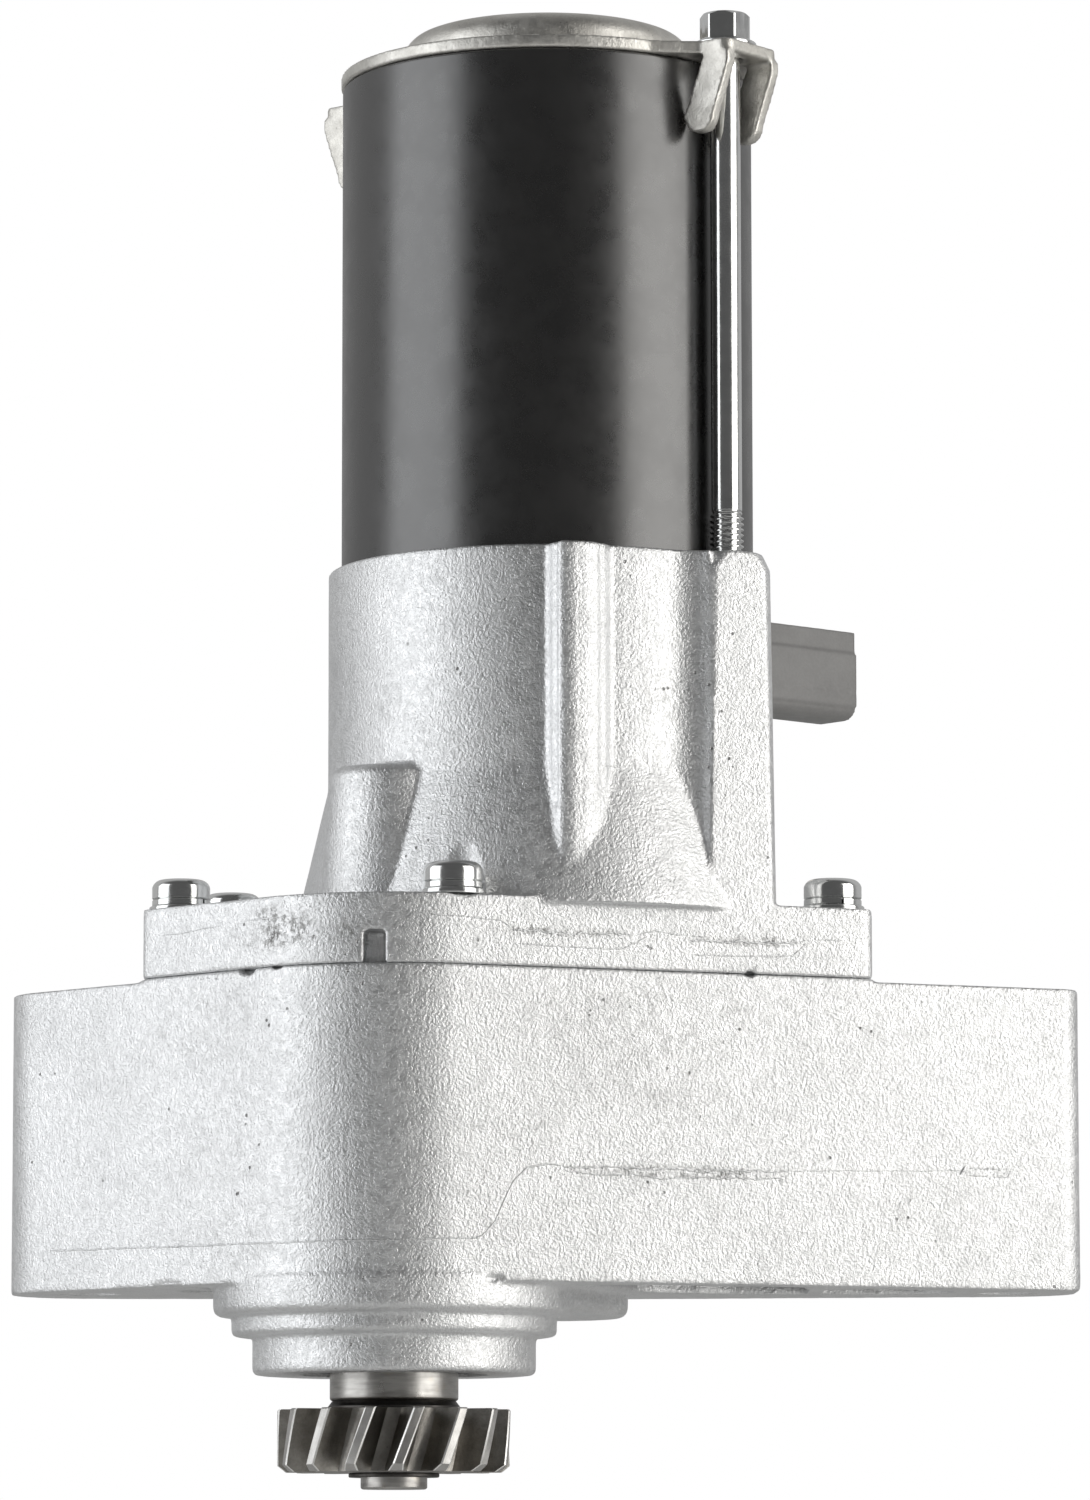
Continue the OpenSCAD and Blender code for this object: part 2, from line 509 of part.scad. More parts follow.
// ---- solenoid -------------------------------------------------------------
module solenoid_can() color(ZINC) at(S) difference() {
    disc(22, flange_z + 0.02, 112);
    disc(20.4, flange_z + 3, 113);
    disc(9.8, 60, 80);
}
module solenoid_bobbin() color([0.75, 0.72, 0.62]) at(S) { ring(10.3, 9.4, 69.4, 107.9); ring(20.2, 10.3, 69.4, 71); ring(20.2, 10.3, 105, 107.9); }
module solenoid_winding() color(COPPER) at(S) ring(19.4, 10.32, 71.02, 104.98);
module solenoid_core() color(STEEL) at(S) difference() {
    union() { disc(9.35, 99.7, 108.1); disc(20.35, 108, 112); }
    disc(2.6, 90, 120);
}
module plunger() color(STEEL) at(S) difference() {
    union() { disc(9.2, 68.6, 87.5); disc(4, 43.6, 69); }
    disc(5.2, 73.5, 90);
    translate([0, 0, 48]) rotate([0, 0, a_ps]) cross_pin(0, 2.5, -6, 6);
}
module plunger_pin() color(STEEL) at(S, 48) rotate([0, 0, a_ps]) cross_pin(0, 2.49, -9, 9);
module plunger_spring() color(STEEL) at(S) spring(4.2, 0.55, 73.6, 99.6, 7);
module contact_disc() color(COPPER) at(S) { disc(2, 82.7, 118); disc(15.5, 120, 122.4); disc(3.2, 117.5, 124); }
module conn_frame(z = 0) { at(S, z) rotate([0, 0, a_conn]) children(); }
module solenoid_cap() color(PLASTIC) difference() {
    union() {
        at(S) { disc(22, 112.02, 128); disc(20.8, 127.9, 134); }
        at(S + [-2, 0], 133.9) rotate([0, 0, 125]) translate([-15, -1.2, 0]) cube([30, 2.4, 4]);
        // plug socket on a stem
        conn_frame(conn_z) translate([14, -6.5, 1.02]) cube([14, 13, 11]);
        conn_frame(conn_z) translate([26.5, 0, 0]) rotate([90, 0, 90]) linear_extrude(24.2) {
            translate([-6.5, 3.4]) square([13, 9.3]);
            translate([-3.5, 0]) square([7, 4]);
            translate([-3.2, 3.4]) circle(r = 3.3, $fn = 48);
            translate([3.2, 3.4]) circle(r = 3.3, $fn = 48);
            translate([-6, 12.6]) square([12, 4.4]);
        }
    }
    at(S) disc(19.2, 111, 131);
    at(STUD_B) disc(4, 120, 150);
    at(STUD_M) disc(3, 120, 150);
    conn_frame(conn_z) translate([33, -4.6, 3.4]) cube([20, 9.2, 8]);
    // grooves along the socket
    conn_frame(conn_z) for (z = [1.75, 5]) translate([26, -7.2, z]) cube([30, z < 3 ? 1.45 : 1.15, 0.55]);
    conn_frame(conn_z) translate([10, -3.05, 6.3]) cube([25, 6.1, 0.82]);
}
module terminal_studs() color(COPPER) {
    at(STUD_B) { disc(3.98, 127, 153); disc(6.5, 125.55, 130.9); }
    at(STUD_M) { disc(2.98, 127, 144); disc(3.95, 125.55, 130.9); }
}
module terminal_nuts() color(ZINC) {
    at(STUD_B) { difference() { translate([0, 0, 134.02]) cylinder(d = 13/cos(30), h = 6, $fn = 6); disc(4, 130, 160); } }
    at(STUD_M) { difference() { translate([0, 0, 135.9]) cylinder(d = 9/cos(30), h = 4.6, $fn = 6); disc(3, 130, 160); } }
}
module connector_blade() color([0.75, 0.72, 0.6]) conn_frame(conn_z) translate([16, -3, 6.32]) cube([29, 6, 0.78]);
module motor_lead() color([0.12, 0.12, 0.12]) {
    difference() {
        union() { at(STUD_M) disc(5.6, 134.05, 135.85); translate([1.2, 37.7, 134.05]) cube([5.6, 7, 1.8]); }
        at(STUD_M) disc(3.02, 130, 150);
    }
    translate([4, 37.7, 134.05]) cylinder(r = 3.2, h = 9, $fn = 48);
    sweep(LEAD, 2.6);
    translate([0, 33.6, 206]) rotate([-90, 0, 0]) cylinder(r = 5.6, h = 1.2, $fn = 48);
}

gear_housing();
motor_bracket();
housing_dowels();
bracket_screws();
screw_spring_washers();
screw_plain_washers();
yoke();
field_magnets();
end_plate();
through_bolts();
rear_bush();
brush_holder();
brushes();
brush_springs();
armature_shaft();
armature_core();
armature_winding();
commutator();
armature_gear();
front_bearing_outer_ring();
front_bearing_inner_ring();
front_bearing_balls();
end_bush();
center_plate();
center_plate_screws();
idler_pin();
idler_bearing();
idler_gear();
clutch_gear();
clutch_rollers();
clutch_cover();
clutch_inner();
clutch_bearing_outer_rings();
clutch_bearing_inner_rings();
clutch_bearing_balls();
nose_bush();
oil_seal();
top_bush();
pinion_shaft();
output_pinion();
pinion_spacer();
pinion_washer();
shift_collar();
collar_snap_rings();
shift_lever();
lever_holder();
pivot_pin();
solenoid_can();
solenoid_bobbin();
solenoid_winding();
solenoid_core();
plunger();
plunger_pin();
plunger_spring();
contact_disc();
solenoid_cap();
terminal_studs();
terminal_nuts();
connector_blade();
motor_lead();
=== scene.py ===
import json
import math
import random

import bmesh
import bpy
import numpy as np
from mathutils import Matrix, Vector, noise
from mathutils.bvhtree import BVHTree

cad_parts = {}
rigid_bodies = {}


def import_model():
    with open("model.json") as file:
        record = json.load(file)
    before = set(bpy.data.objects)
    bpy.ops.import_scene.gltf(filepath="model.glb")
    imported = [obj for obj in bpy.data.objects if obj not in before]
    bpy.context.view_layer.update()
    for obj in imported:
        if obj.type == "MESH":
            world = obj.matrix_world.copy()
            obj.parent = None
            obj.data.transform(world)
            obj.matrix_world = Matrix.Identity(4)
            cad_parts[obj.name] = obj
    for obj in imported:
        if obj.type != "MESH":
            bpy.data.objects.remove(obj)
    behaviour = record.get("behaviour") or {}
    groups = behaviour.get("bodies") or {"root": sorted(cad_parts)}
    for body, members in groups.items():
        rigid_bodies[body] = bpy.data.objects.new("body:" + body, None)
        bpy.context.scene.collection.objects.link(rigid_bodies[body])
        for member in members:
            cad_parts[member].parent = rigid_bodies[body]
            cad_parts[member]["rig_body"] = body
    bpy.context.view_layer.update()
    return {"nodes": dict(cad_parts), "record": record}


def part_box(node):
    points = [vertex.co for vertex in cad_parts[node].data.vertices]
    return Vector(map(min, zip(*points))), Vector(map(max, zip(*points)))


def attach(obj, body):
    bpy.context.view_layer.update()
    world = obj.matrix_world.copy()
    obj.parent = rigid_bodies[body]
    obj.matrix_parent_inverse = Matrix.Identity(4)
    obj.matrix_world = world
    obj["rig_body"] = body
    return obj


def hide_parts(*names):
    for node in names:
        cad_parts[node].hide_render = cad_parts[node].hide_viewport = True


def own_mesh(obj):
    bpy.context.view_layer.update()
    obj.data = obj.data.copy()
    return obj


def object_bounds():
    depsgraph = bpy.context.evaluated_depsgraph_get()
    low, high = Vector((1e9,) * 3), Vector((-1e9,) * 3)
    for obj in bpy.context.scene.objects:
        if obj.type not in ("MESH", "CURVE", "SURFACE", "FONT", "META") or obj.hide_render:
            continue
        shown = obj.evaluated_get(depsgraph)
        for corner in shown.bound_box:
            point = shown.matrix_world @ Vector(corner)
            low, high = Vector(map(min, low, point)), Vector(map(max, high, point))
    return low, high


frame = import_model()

NODES = frame["nodes"]
BODY = {n: o["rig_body"] for n, o in NODES.items()}
scene = bpy.context.scene
SLOT = {s["node"]: s["material_slot"] for s in frame["record"]["subparts"]}


# ---------------------------------------------------------------------------
# places, all taken from the frame (millimetres)
# ---------------------------------------------------------------------------
def centre(node):
    lo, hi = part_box(node)
    return ((lo.x + hi.x) * 500, (lo.y + hi.y) * 500)


def islands(node):
    """Box of every separate solid of a CAD node, in mm, sorted by x."""
    me = NODES[node].data
    co = np.empty(len(me.vertices) * 3, np.float32)
    me.vertices.foreach_get("co", co)
    co = co.reshape(-1, 3) * 1000
    key = {}
    ident = np.empty(len(co), int)
    for i, p in enumerate(np.round(co, 3)):
        ident[i] = key.setdefault(tuple(p), len(key))
    parent = list(range(len(key)))

    def find(a):
        while parent[a] != a:
            parent[a] = parent[parent[a]]
            a = parent[a]
        return a

    for p in me.polygons:
        v = [ident[k] for k in p.vertices]
        for b in v[1:]:
            ra, rb = find(v[0]), find(b)
            if ra != rb:
                parent[ra] = rb
    groups = {}
    for i in range(len(co)):
        groups.setdefault(find(ident[i]), []).append(i)
    boxes = [(co[g].min(0), co[g].max(0)) for g in groups.values()]
    return sorted(boxes, key=lambda b: (round(float(b[0][0]), 2), float(b[0][1])))


M = centre("yoke")
P = centre("pinion_washer")


# ---------------------------------------------------------------------------
# materials
# ---------------------------------------------------------------------------
class Nodes:
    def __init__(self, name):
        self.mat = bpy.data.materials.new(name)
        self.mat.use_nodes = True
        self.t = self.mat.node_tree
        self.t.nodes.clear()
        self.out = self.t.nodes.new("ShaderNodeOutputMaterial")
        self.bsdf = self.t.nodes.new("ShaderNodeBsdfPrincipled")
        self.t.links.new(self.bsdf.outputs[0], self.out.inputs[0])
        self.tc = self.t.nodes.new("ShaderNodeTexCoord")

    def put(self, a, b):
        self.t.links.new(a, b)

    def feed(self, sock, v):
        if isinstance(v, bpy.types.NodeSocket):
            self.t.links.new(v, sock)
        elif v is not None:
            sock.default_value = v

    def coords(self, scale=(1, 1, 1)):
        if scale == (1, 1, 1):
            return self.tc.outputs["Object"]
        m = self.t.nodes.new("ShaderNodeMapping")
        m.inputs["Scale"].default_value = scale
        self.put(self.tc.outputs["Object"], m.inputs["Vector"])
        return m.outputs[0]

    def noise(self, scale, detail=2.0, rough=0.5, stretch=(1, 1, 1), dist=0.0):
        n = self.t.nodes.new("ShaderNodeTexNoise")
        n.inputs["Scale"].default_value = scale
        n.inputs["Detail"].default_value = detail
        n.inputs["Roughness"].default_value = rough
        n.inputs["Distortion"].default_value = dist
        self.put(self.coords(stretch), n.inputs["Vector"])
        return n.outputs[0]

    def cells(self, scale, feature="F1"):
        n = self.t.nodes.new("ShaderNodeTexVoronoi")
        n.feature = feature
        n.inputs["Scale"].default_value = scale
        self.put(self.coords(), n.inputs["Vector"])
        return n.outputs["Distance"]

    def math(self, op, a, b=None, clamp=False):
        n = self.t.nodes.new("ShaderNodeMath")
        n.operation = op
        n.use_clamp = clamp
        self.feed(n.inputs[0], a)
        self.feed(n.inputs[1], b)
        return n.outputs[0]

    def ramp(self, v, lo, hi, a=0.0, b=1.0):
        n = self.t.nodes.new("ShaderNodeMapRange")
        n.interpolation_type = "SMOOTHSTEP"
        n.inputs["From Min"].default_value = lo
        n.inputs["From Max"].default_value = hi
        n.inputs["To Min"].default_value = a
        n.inputs["To Max"].default_value = b
        self.put(v, n.inputs["Value"])
        return n.outputs[0]

    def mix(self, f, a, b):
        n = self.t.nodes.new("ShaderNodeMix")
        n.data_type = "RGBA"
        self.feed(n.inputs["Factor"], f)
        self.feed(n.inputs[6], a if not isinstance(a, tuple) else (*a, 1))
        self.feed(n.inputs[7], b if not isinstance(b, tuple) else (*b, 1))
        return n.outputs[2]

    def attribute(self, name):
        n = self.t.nodes.new("ShaderNodeAttribute")
        n.attribute_name = name
        return n.outputs["Fac"]

    def bump(self, height, distance, strength=1.0, under=None):
        n = self.t.nodes.new("ShaderNodeBump")
        n.inputs["Strength"].default_value = strength
        n.inputs["Distance"].default_value = distance
        self.put(height, n.inputs["Height"])
        if under is not None:
            self.put(under, n.inputs["Normal"])
        return n.outputs[0]

    def finish(self, color, rough, metallic, normal=None, **more):
        b = self.bsdf
        self.feed(b.inputs["Base Color"], color if not isinstance(color, tuple) else (*color, 1))
        self.feed(b.inputs["Roughness"], rough)
        b.inputs["Metallic"].default_value = metallic
        if normal is not None:
            self.put(normal, b.inputs["Normal"])
        for k, v in more.items():
            b.inputs[k.replace("_", " ")].default_value = v
        return self.mat


def cast_aluminium(name, light, dark, grain=1.0, rough=0.44):
    """Die cast skin: orange peel grain, soft grey staining, a few pores, and darkened patches from a mesh attribute,
    partly real rubbing and staining, partly painted shade in the flash crevices.
    """
    n = Nodes(name)
    peel = n.noise(1900, 2.0, 0.6)
    fine = n.noise(5200, 1.0, 0.5)
    medium = n.noise(620, 2.0, 0.5)
    broad = n.noise(38, 3.0, 0.55)
    cloud = n.noise(110, 4.0, 0.65, dist=0.4)
    tone = n.math("ADD", n.ramp(broad, 0.35, 0.68, 0.0, 0.22), n.ramp(cloud, 0.42, 0.72, 0.0, 0.20))
    tone = n.math("ADD", tone, n.ramp(peel, 0.34, 0.58, 0.38, 0.0), clamp=True)
    color = n.mix(tone, light, dark)
    # pores: small dark pits, in loose groups
    cell = n.cells(430)
    group = n.ramp(n.noise(95, 2.0, 0.6), 0.56, 0.66)
    pit = n.math("MULTIPLY", n.ramp(cell, 0.05, 0.15, 1.0, 0.0), group)
    # darkening where the mesh attribute says: partly real staining and rubbing, partly painted shade along the flash
    # crevices
    stain_and_shade = n.attribute("StainAndShade")
    broken = n.ramp(n.noise(900, 3.0, 0.75), 0.44, 0.60)
    smear = n.ramp(n.noise(260, 4.0, 0.7), 0.38, 0.66)
    stain_and_shade_spot = n.math("MULTIPLY", stain_and_shade, n.math("MULTIPLY", broken, n.math("ADD", smear, 0.25)), clamp=True)
    color = n.mix(n.math("MULTIPLY", pit, 0.75), color, (0.16, 0.155, 0.15))
    # the darkened patches: partly stain and rubbing, partly painted shade of the flash crevices
    color = n.mix(n.math("MULTIPLY", stain_and_shade_spot, 0.85), color, (0.17, 0.165, 0.155))
    r = n.ramp(medium, 0.3, 0.7, rough - 0.07, rough + 0.08)
    r = n.math("ADD", r, n.math("MULTIPLY", stain_and_shade_spot, 0.2))
    h = n.math("ADD", n.math("MULTIPLY", peel, 1.0), n.math("MULTIPLY", fine, 0.28))
    h = n.math("SUBTRACT", h, n.math("MULTIPLY", pit, 1.3))
    h = n.math("SUBTRACT", h, n.math("MULTIPLY", stain_and_shade_spot, 0.35))
    b = n.bump(medium, 0.00009 * grain, 0.5)
    b = n.bump(h, 0.00021 * grain, 1.0, b)
    return n.finish(color, r, 1.0, b)


def metal(name, light, dark, rough=0.3, spread=0.08, grain=2500, depth=0.00002, turned=0.0, cloud=60.0, cloud_amount=0.5, specks=0.0, edge=None):
    """Plated or machined metal: tone clouds, fine grain, and turning lines when turned is above 0."""
    n = Nodes(name)
    g = n.noise(grain, 2.0, 0.55)
    c = n.noise(cloud, 4.0, 0.6)
    tone = n.ramp(c, 0.34, 0.68, 0.0, cloud_amount)
    tone = n.math("ADD", tone, n.ramp(g, 0.35, 0.65, 0.0, 0.18), clamp=True)
    color = n.mix(tone, light, dark)
    h = g
    if turned > 0:
        lines = n.noise(1.0, 3.0, 0.6, stretch=(90, 90, 7000))
        wide = n.noise(1.0, 2.0, 0.5, stretch=(60, 60, 1400))
        color = n.mix(n.math("MULTIPLY", n.ramp(wide, 0.35, 0.65), 0.35 * turned), color, dark)
        h = n.math("ADD", n.math("MULTIPLY", lines, turned), n.math("MULTIPLY", g, 0.4))
    if specks > 0:
        s = n.math("MULTIPLY", n.ramp(n.cells(700), 0.05, 0.14, 1.0, 0.0), n.ramp(n.noise(140, 2.0), 0.52, 0.62))
        color = n.mix(n.math("MULTIPLY", s, specks), color, tuple(0.3 * x for x in dark))
    r = n.ramp(n.noise(grain * 0.12, 3.0, 0.6), 0.3, 0.7, rough - spread, rough + spread)
    return n.finish(color, r, 1.0, n.bump(h, depth, 0.8))


def plain(name, light, dark, rough=0.5, spread=0.08, grain=1800, depth=0.00003, ior=1.5, cloud=70.0, specks=0.0, speck_color=(0.4, 0.4, 0.4), stretch=(1, 1, 1), coat=0.0):
    """Paint, plastic, rubber and other non-metals."""
    n = Nodes(name)
    g = n.noise(grain, 2.0, 0.55, stretch=stretch)
    c = n.noise(cloud, 4.0, 0.6)
    tone = n.math("ADD", n.ramp(c, 0.35, 0.68, 0.0, 0.65), n.ramp(g, 0.35, 0.65, 0.0, 0.3), clamp=True)
    color = n.mix(tone, light, dark)
    if specks > 0:
        s = n.math("MULTIPLY", n.ramp(n.cells(520), 0.03, 0.09, 1.0, 0.0), n.ramp(n.noise(180, 2.0), 0.55, 0.64))
        color = n.mix(n.math("MULTIPLY", s, specks), color, speck_color)
    r = n.ramp(n.noise(grain * 0.1, 3.0, 0.6), 0.3, 0.7, rough - spread, rough + spread)
    return n.finish(color, r, 0.0, n.bump(g, depth, 0.8), IOR=ior, Coat_Weight=coat)


def black_paint(name):
    """Semi-gloss black paint over drawn steel tube: soft runs along the axis, faint orange peel, dust specks."""
    n = Nodes(name)
    peel = n.noise(900, 2.0, 0.5)
    runs = n.noise(1.0, 3.0, 0.55, stretch=(170, 170, 14))
    hoops = n.noise(1.0, 3.0, 0.6, stretch=(22, 22, 520))
    cloud = n.noise(34, 4.0, 0.6)
    tone = n.math("ADD", n.ramp(cloud, 0.38, 0.66, 0.0, 0.6), n.ramp(runs, 0.35, 0.65, 0.0, 0.4), clamp=True)
    color = n.mix(tone, (0.0045, 0.0043, 0.0042), (0.0090, 0.0082, 0.0077))
    dust = n.math("MULTIPLY", n.ramp(n.cells(420), 0.02, 0.055, 1.0, 0.0), n.ramp(n.noise(120, 2.0), 0.58, 0.66))
    color = n.mix(n.math("MULTIPLY", dust, 0.6), color, (0.16, 0.15, 0.14))
    r = n.ramp(n.noise(150, 4.0, 0.65), 0.3, 0.7, 0.25, 0.33)
    h = n.math("ADD", n.math("MULTIPLY", peel, 0.35), n.math("MULTIPLY", hoops, 0.5))
    h = n.math("ADD", h, n.math("MULTIPLY", dust, 0.8))
    b = n.bump(h, 0.00003, 0.5)
    return n.finish(color, r, 0.0, b, IOR=2.1)


def heat_steel(name):
    """Turned shaft steel with a straw tint in patches."""
    n = Nodes(name)
    lines = n.noise(1.0, 3.0, 0.6, stretch=(90, 90, 6000))
    wide = n.noise(1.0, 3.0, 0.6, stretch=(120, 120, 900))
    patch = n.noise(130, 3.0, 0.6)
    color = n.mix(n.ramp(wide, 0.35, 0.65, 0.0, 0.7), (0.50, 0.49, 0.47), (0.30, 0.288, 0.275))
    color = n.mix(n.ramp(patch, 0.56, 0.70, 0.0, 0.5), color, (0.50, 0.42, 0.30))
    r = n.ramp(n.noise(400, 3.0, 0.6), 0.3, 0.7, 0.27, 0.38)
    return n.finish(color, r, 1.0, n.bump(lines, 0.000022, 0.8))


MAT = {
    "cast_aluminium": cast_aluminium("cast_aluminium", (0.86, 0.865, 0.87), (0.63, 0.635, 0.64)),
    "black_paint": black_paint("black_paint"),
    "zinc_plate": metal("zinc_plate", (0.77, 0.755, 0.715), (0.50, 0.485, 0.45), 0.46, 0.08, 2600, 0.00009, cloud=140, specks=0.5),
    "bright_zinc": metal("bright_zinc", (0.86, 0.865, 0.86), (0.70, 0.71, 0.705), 0.16, 0.04, 2200, 0.000006, cloud=150, cloud_amount=0.35, specks=0.25),
    "steel": metal("steel", (0.55, 0.54, 0.53), (0.40, 0.39, 0.38), 0.32, 0.06, 2600, 0.00001, turned=1.0),
    "hardened_steel": metal("hardened_steel", (0.44, 0.425, 0.40), (0.27, 0.255, 0.235), 0.34, 0.07, 2400, 0.00002, cloud=220, specks=0.3),
    "bright_steel": metal("bright_steel", (0.78, 0.77, 0.76), (0.62, 0.61, 0.60), 0.14, 0.03, 2600, 0.000004, turned=0.4),
    "dark_oxide": metal("dark_oxide", (0.10, 0.095, 0.09), (0.045, 0.043, 0.042), 0.42, 0.08, 2200, 0.00003, cloud=160),
    "bronze": metal("bronze", (0.55, 0.36, 0.19), (0.38, 0.24, 0.12), 0.38, 0.08, 1800, 0.00003, cloud=120, specks=0.5),
    "copper": metal("copper", (0.78, 0.42, 0.27), (0.55, 0.28, 0.17), 0.28, 0.07, 2000, 0.00001, turned=0.6),
    "winding": plain("winding", (0.36, 0.13, 0.05), (0.20, 0.065, 0.025), 0.32, 0.08, 1100, 0.00012, 1.55, 90),
    "ferrite": plain("ferrite", (0.06, 0.06, 0.062), (0.03, 0.03, 0.032), 0.62, 0.08, 1500, 0.00006, specks=0.3),
    "phenolic": plain("phenolic", (0.07, 0.045, 0.03), (0.04, 0.026, 0.018), 0.45, 0.08, 1300, 0.00004, specks=0.3, speck_color=(0.16, 0.11, 0.07)),
    "carbon": plain("carbon", (0.045, 0.043, 0.042), (0.022, 0.021, 0.021), 0.5, 0.1, 2200, 0.00006, specks=0.6, speck_color=(0.35, 0.2, 0.12)),
    "grey_plastic": plain("grey_plastic", (0.265, 0.262, 0.260), (0.215, 0.212, 0.210), 0.40, 0.07, 1700, 0.00003, 1.55, specks=0.2),
    "nylon": plain("nylon", (0.60, 0.57, 0.49), (0.50, 0.47, 0.39), 0.42, 0.07, 1200, 0.00004),
    "rubber": plain("rubber", (0.022, 0.022, 0.023), (0.012, 0.012, 0.012), 0.62, 0.08, 1500, 0.00005),
}
FLOOR = plain("floor_pale", (0.80, 0.80, 0.79), (0.76, 0.76, 0.75), 0.6, 0.05, 40, 0.0002, 1.4, 1.5)
MAT["shaft_steel"] = heat_steel("shaft_steel")
# the pinion's steel in three brightnesses, lit and shaded copies of one material: tooth flanks dark as painted shade,
# with a fine hobbing texture; lands lighter and tip edges near white as painted highlight
MAT["gear_flank_painted_shade"] = metal("gear_flank_painted_shade", (0.34, 0.325, 0.30), (0.17, 0.16, 0.148), 0.36, 0.07, 2400, 0.00003, cloud=260, specks=0.35)
MAT["gear_land_painted_highlight"] = metal("gear_land_painted_highlight", (0.55, 0.54, 0.525), (0.40, 0.39, 0.375), 0.42, 0.06, 2600, 0.00003, cloud=300)
MAT["gear_tip_painted_highlight"] = metal("gear_tip_painted_highlight", (0.95, 0.94, 0.92), (0.80, 0.79, 0.77), 0.45, 0.05, 2600, 0.00001, cloud=300)


def paint(ob, slot):
    ob.data.materials.clear()
    ob.data.materials.append(MAT[slot])


# ---------------------------------------------------------------------------
# mesh helpers (all in mm, written to metres)
# ---------------------------------------------------------------------------
def make(name, verts, faces, sharp=38.0, metre=0.001):
    me = bpy.data.meshes.new(name)
    me.from_pydata([(v[0] * metre, v[1] * metre, v[2] * metre) for v in verts], [], faces)
    bm = bmesh.new()
    bm.from_mesh(me)
    bmesh.ops.remove_doubles(bm, verts=bm.verts, dist=1e-7)
    bmesh.ops.recalc_face_normals(bm, faces=bm.faces)
    bm.to_mesh(me)
    bm.free()
    me.shade_smooth()
    me.set_sharp_from_angle(angle=math.radians(sharp))
    return me


def add(name, me, body, slot, *nodes):
    ob = bpy.data.objects.new(name, me)
    scene.collection.objects.link(ob)
    if not len(me.materials):
        me.materials.append(MAT[slot])
    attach(ob, body)
    if nodes:
        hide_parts(*nodes)
    return ob


def arc(cx, cz, r, a0, a1, n=6):
    return [(cx + r * math.cos(math.radians(a0 + (a1 - a0) * i / n)), cz + r * math.sin(math.radians(a0 + (a1 - a0) * i / n))) for i in range(n + 1)]


def rounded(points, n=5):
    """points are (r, z, fillet radius): the closed or open profile with its corners rounded."""
    out = []
    k = len(points)
    for i, (x, z, f) in enumerate(points):
        if f <= 0:
            out.append((x, z))
            continue
        a = Vector((points[i - 1][0] - x, points[i - 1][1] - z))
        b = Vector((points[(i + 1) % k][0] - x, points[(i + 1) % k][1] - z))
        la, lb = a.length, b.length
        a.normalize(), b.normalize()
        half = a.angle(b) / 2
        t = min(f / math.tan(half), la * 0.49, lb * 0.49)
        r = t * math.tan(half)
        c = Vector((x, z)) + (a + b).normalized() * (r / math.sin(half))
        p0, p1 = Vector((x, z)) + a * t - c, Vector((x, z)) + b * t - c
        w = p0.angle(p1)
        for j in range(n + 1):
            s = j / n
            v = (p0 * math.sin((1 - s) * w) + p1 * math.sin(s * w)) / math.sin(w) if w > 1e-6 else p0
            out.append((c.x + v.x, c.y + v.y))
    return out


def lathe(profile, at=(0, 0), seg=128, closed=True):
    """Verts and faces of a profile (r, z) turned about z. An open profile starts and ends on the axis."""
    verts, faces, rings = [], [], []
    for r, z in profile:
        if r < 1e-6:
            rings.append([len(verts)])
            verts.append((at[0], at[1], z))
        else:
            rings.append(list(range(len(verts), len(verts) + seg)))
            for i in range(seg):
                a = 2 * math.pi * i / seg
                verts.append((at[0] + r * math.cos(a), at[1] + r * math.sin(a), z))
    pairs = list(zip(rings, rings[1:] + rings[:1])) if closed else list(zip(rings, rings[1:]))
    for a, b in pairs:
        for i in range(seg):
            j = (i + 1) % seg
            if len(a) == 1 and len(b) == 1:
                continue
            if len(a) == 1:
                faces.append((a[0], b[i], b[j]))
            elif len(b) == 1:
                faces.append((a[i], a[j], b[0]))
            else:
                faces.append((a[i], a[j], b[j], b[i]))
    return verts, faces


def field(rows, radius, at, seg):
    """Closed skin over rows of z, with radius(theta, z); flat ends."""
    verts, faces = [], []
    for z in rows:
        for i in range(seg):
            a = 2 * math.pi * i / seg
            r = radius(a, z)
            verts.append((at[0] + r * math.cos(a), at[1] + r * math.sin(a), z))
    for k in range(len(rows) - 1):
        for i in range(seg):
            j = (i + 1) % seg
            faces.append((k * seg + i, k * seg + j, (k + 1) * seg + j, (k + 1) * seg + i))
    for k, z in ((0, rows[0]), (len(rows) - 1, rows[-1])):
        c = len(verts)
        verts.append((at[0], at[1], z))
        for i in range(seg):
            faces.append((k * seg + i, k * seg + (i + 1) % seg, c))
    return verts, faces


def join(*parts):
    verts, faces = [], []
    for v, f in parts:
        o = len(verts)
        verts += list(v)
        faces += [tuple(i + o for i in q) for q in f]
    return verts, faces


def welded(node):
    """A copy of a CAD node's mesh, welded so that it is closed."""
    me = NODES[node].data.copy()
    bm = bmesh.new()
    bm.from_mesh(me)
    bmesh.ops.remove_doubles(bm, verts=bm.verts, dist=2e-7)
    bm.to_mesh(me)
    bm.free()
    return me


def evaluated(me, *mods):
    """The mesh with modifiers applied: each is (type, {settings})."""
    ob = bpy.data.objects.new("work", me)
    scene.collection.objects.link(ob)
    for kind, settings in mods:
        m = ob.modifiers.new(kind.lower(), kind)
        for k, v in settings.items():
            setattr(m, k, v)
    dg = bpy.context.evaluated_depsgraph_get()
    new = bpy.data.meshes.new_from_object(ob.evaluated_get(dg))
    bpy.data.objects.remove(ob)
    return new


def soft_cast(node, voxel, passes):
    """The CAD shape as a casting or pressing has it: every edge a little round."""
    me = evaluated(
        welded(node),
        ("REMESH", {"mode": "VOXEL", "voxel_size": voxel * 0.001, "adaptivity": 0.0}),
        ("SMOOTH", {"factor": 0.5, "iterations": passes}),
    )
    me.materials.clear()
    me.shade_smooth()
    return me


def get_co(me):
    co = np.empty(len(me.vertices) * 3, np.float32)
    me.vertices.foreach_get("co", co)
    return co.reshape(-1, 3).astype(float) * 1000


def set_co(me, co):
    me.vertices.foreach_set("co", (co / 1000).astype(np.float32).ravel())
    me.update()


def normals(me):
    no = np.empty(len(me.vertices) * 3, np.float32)
    me.vertices.foreach_get("normal", no)
    return no.reshape(-1, 3).astype(float)


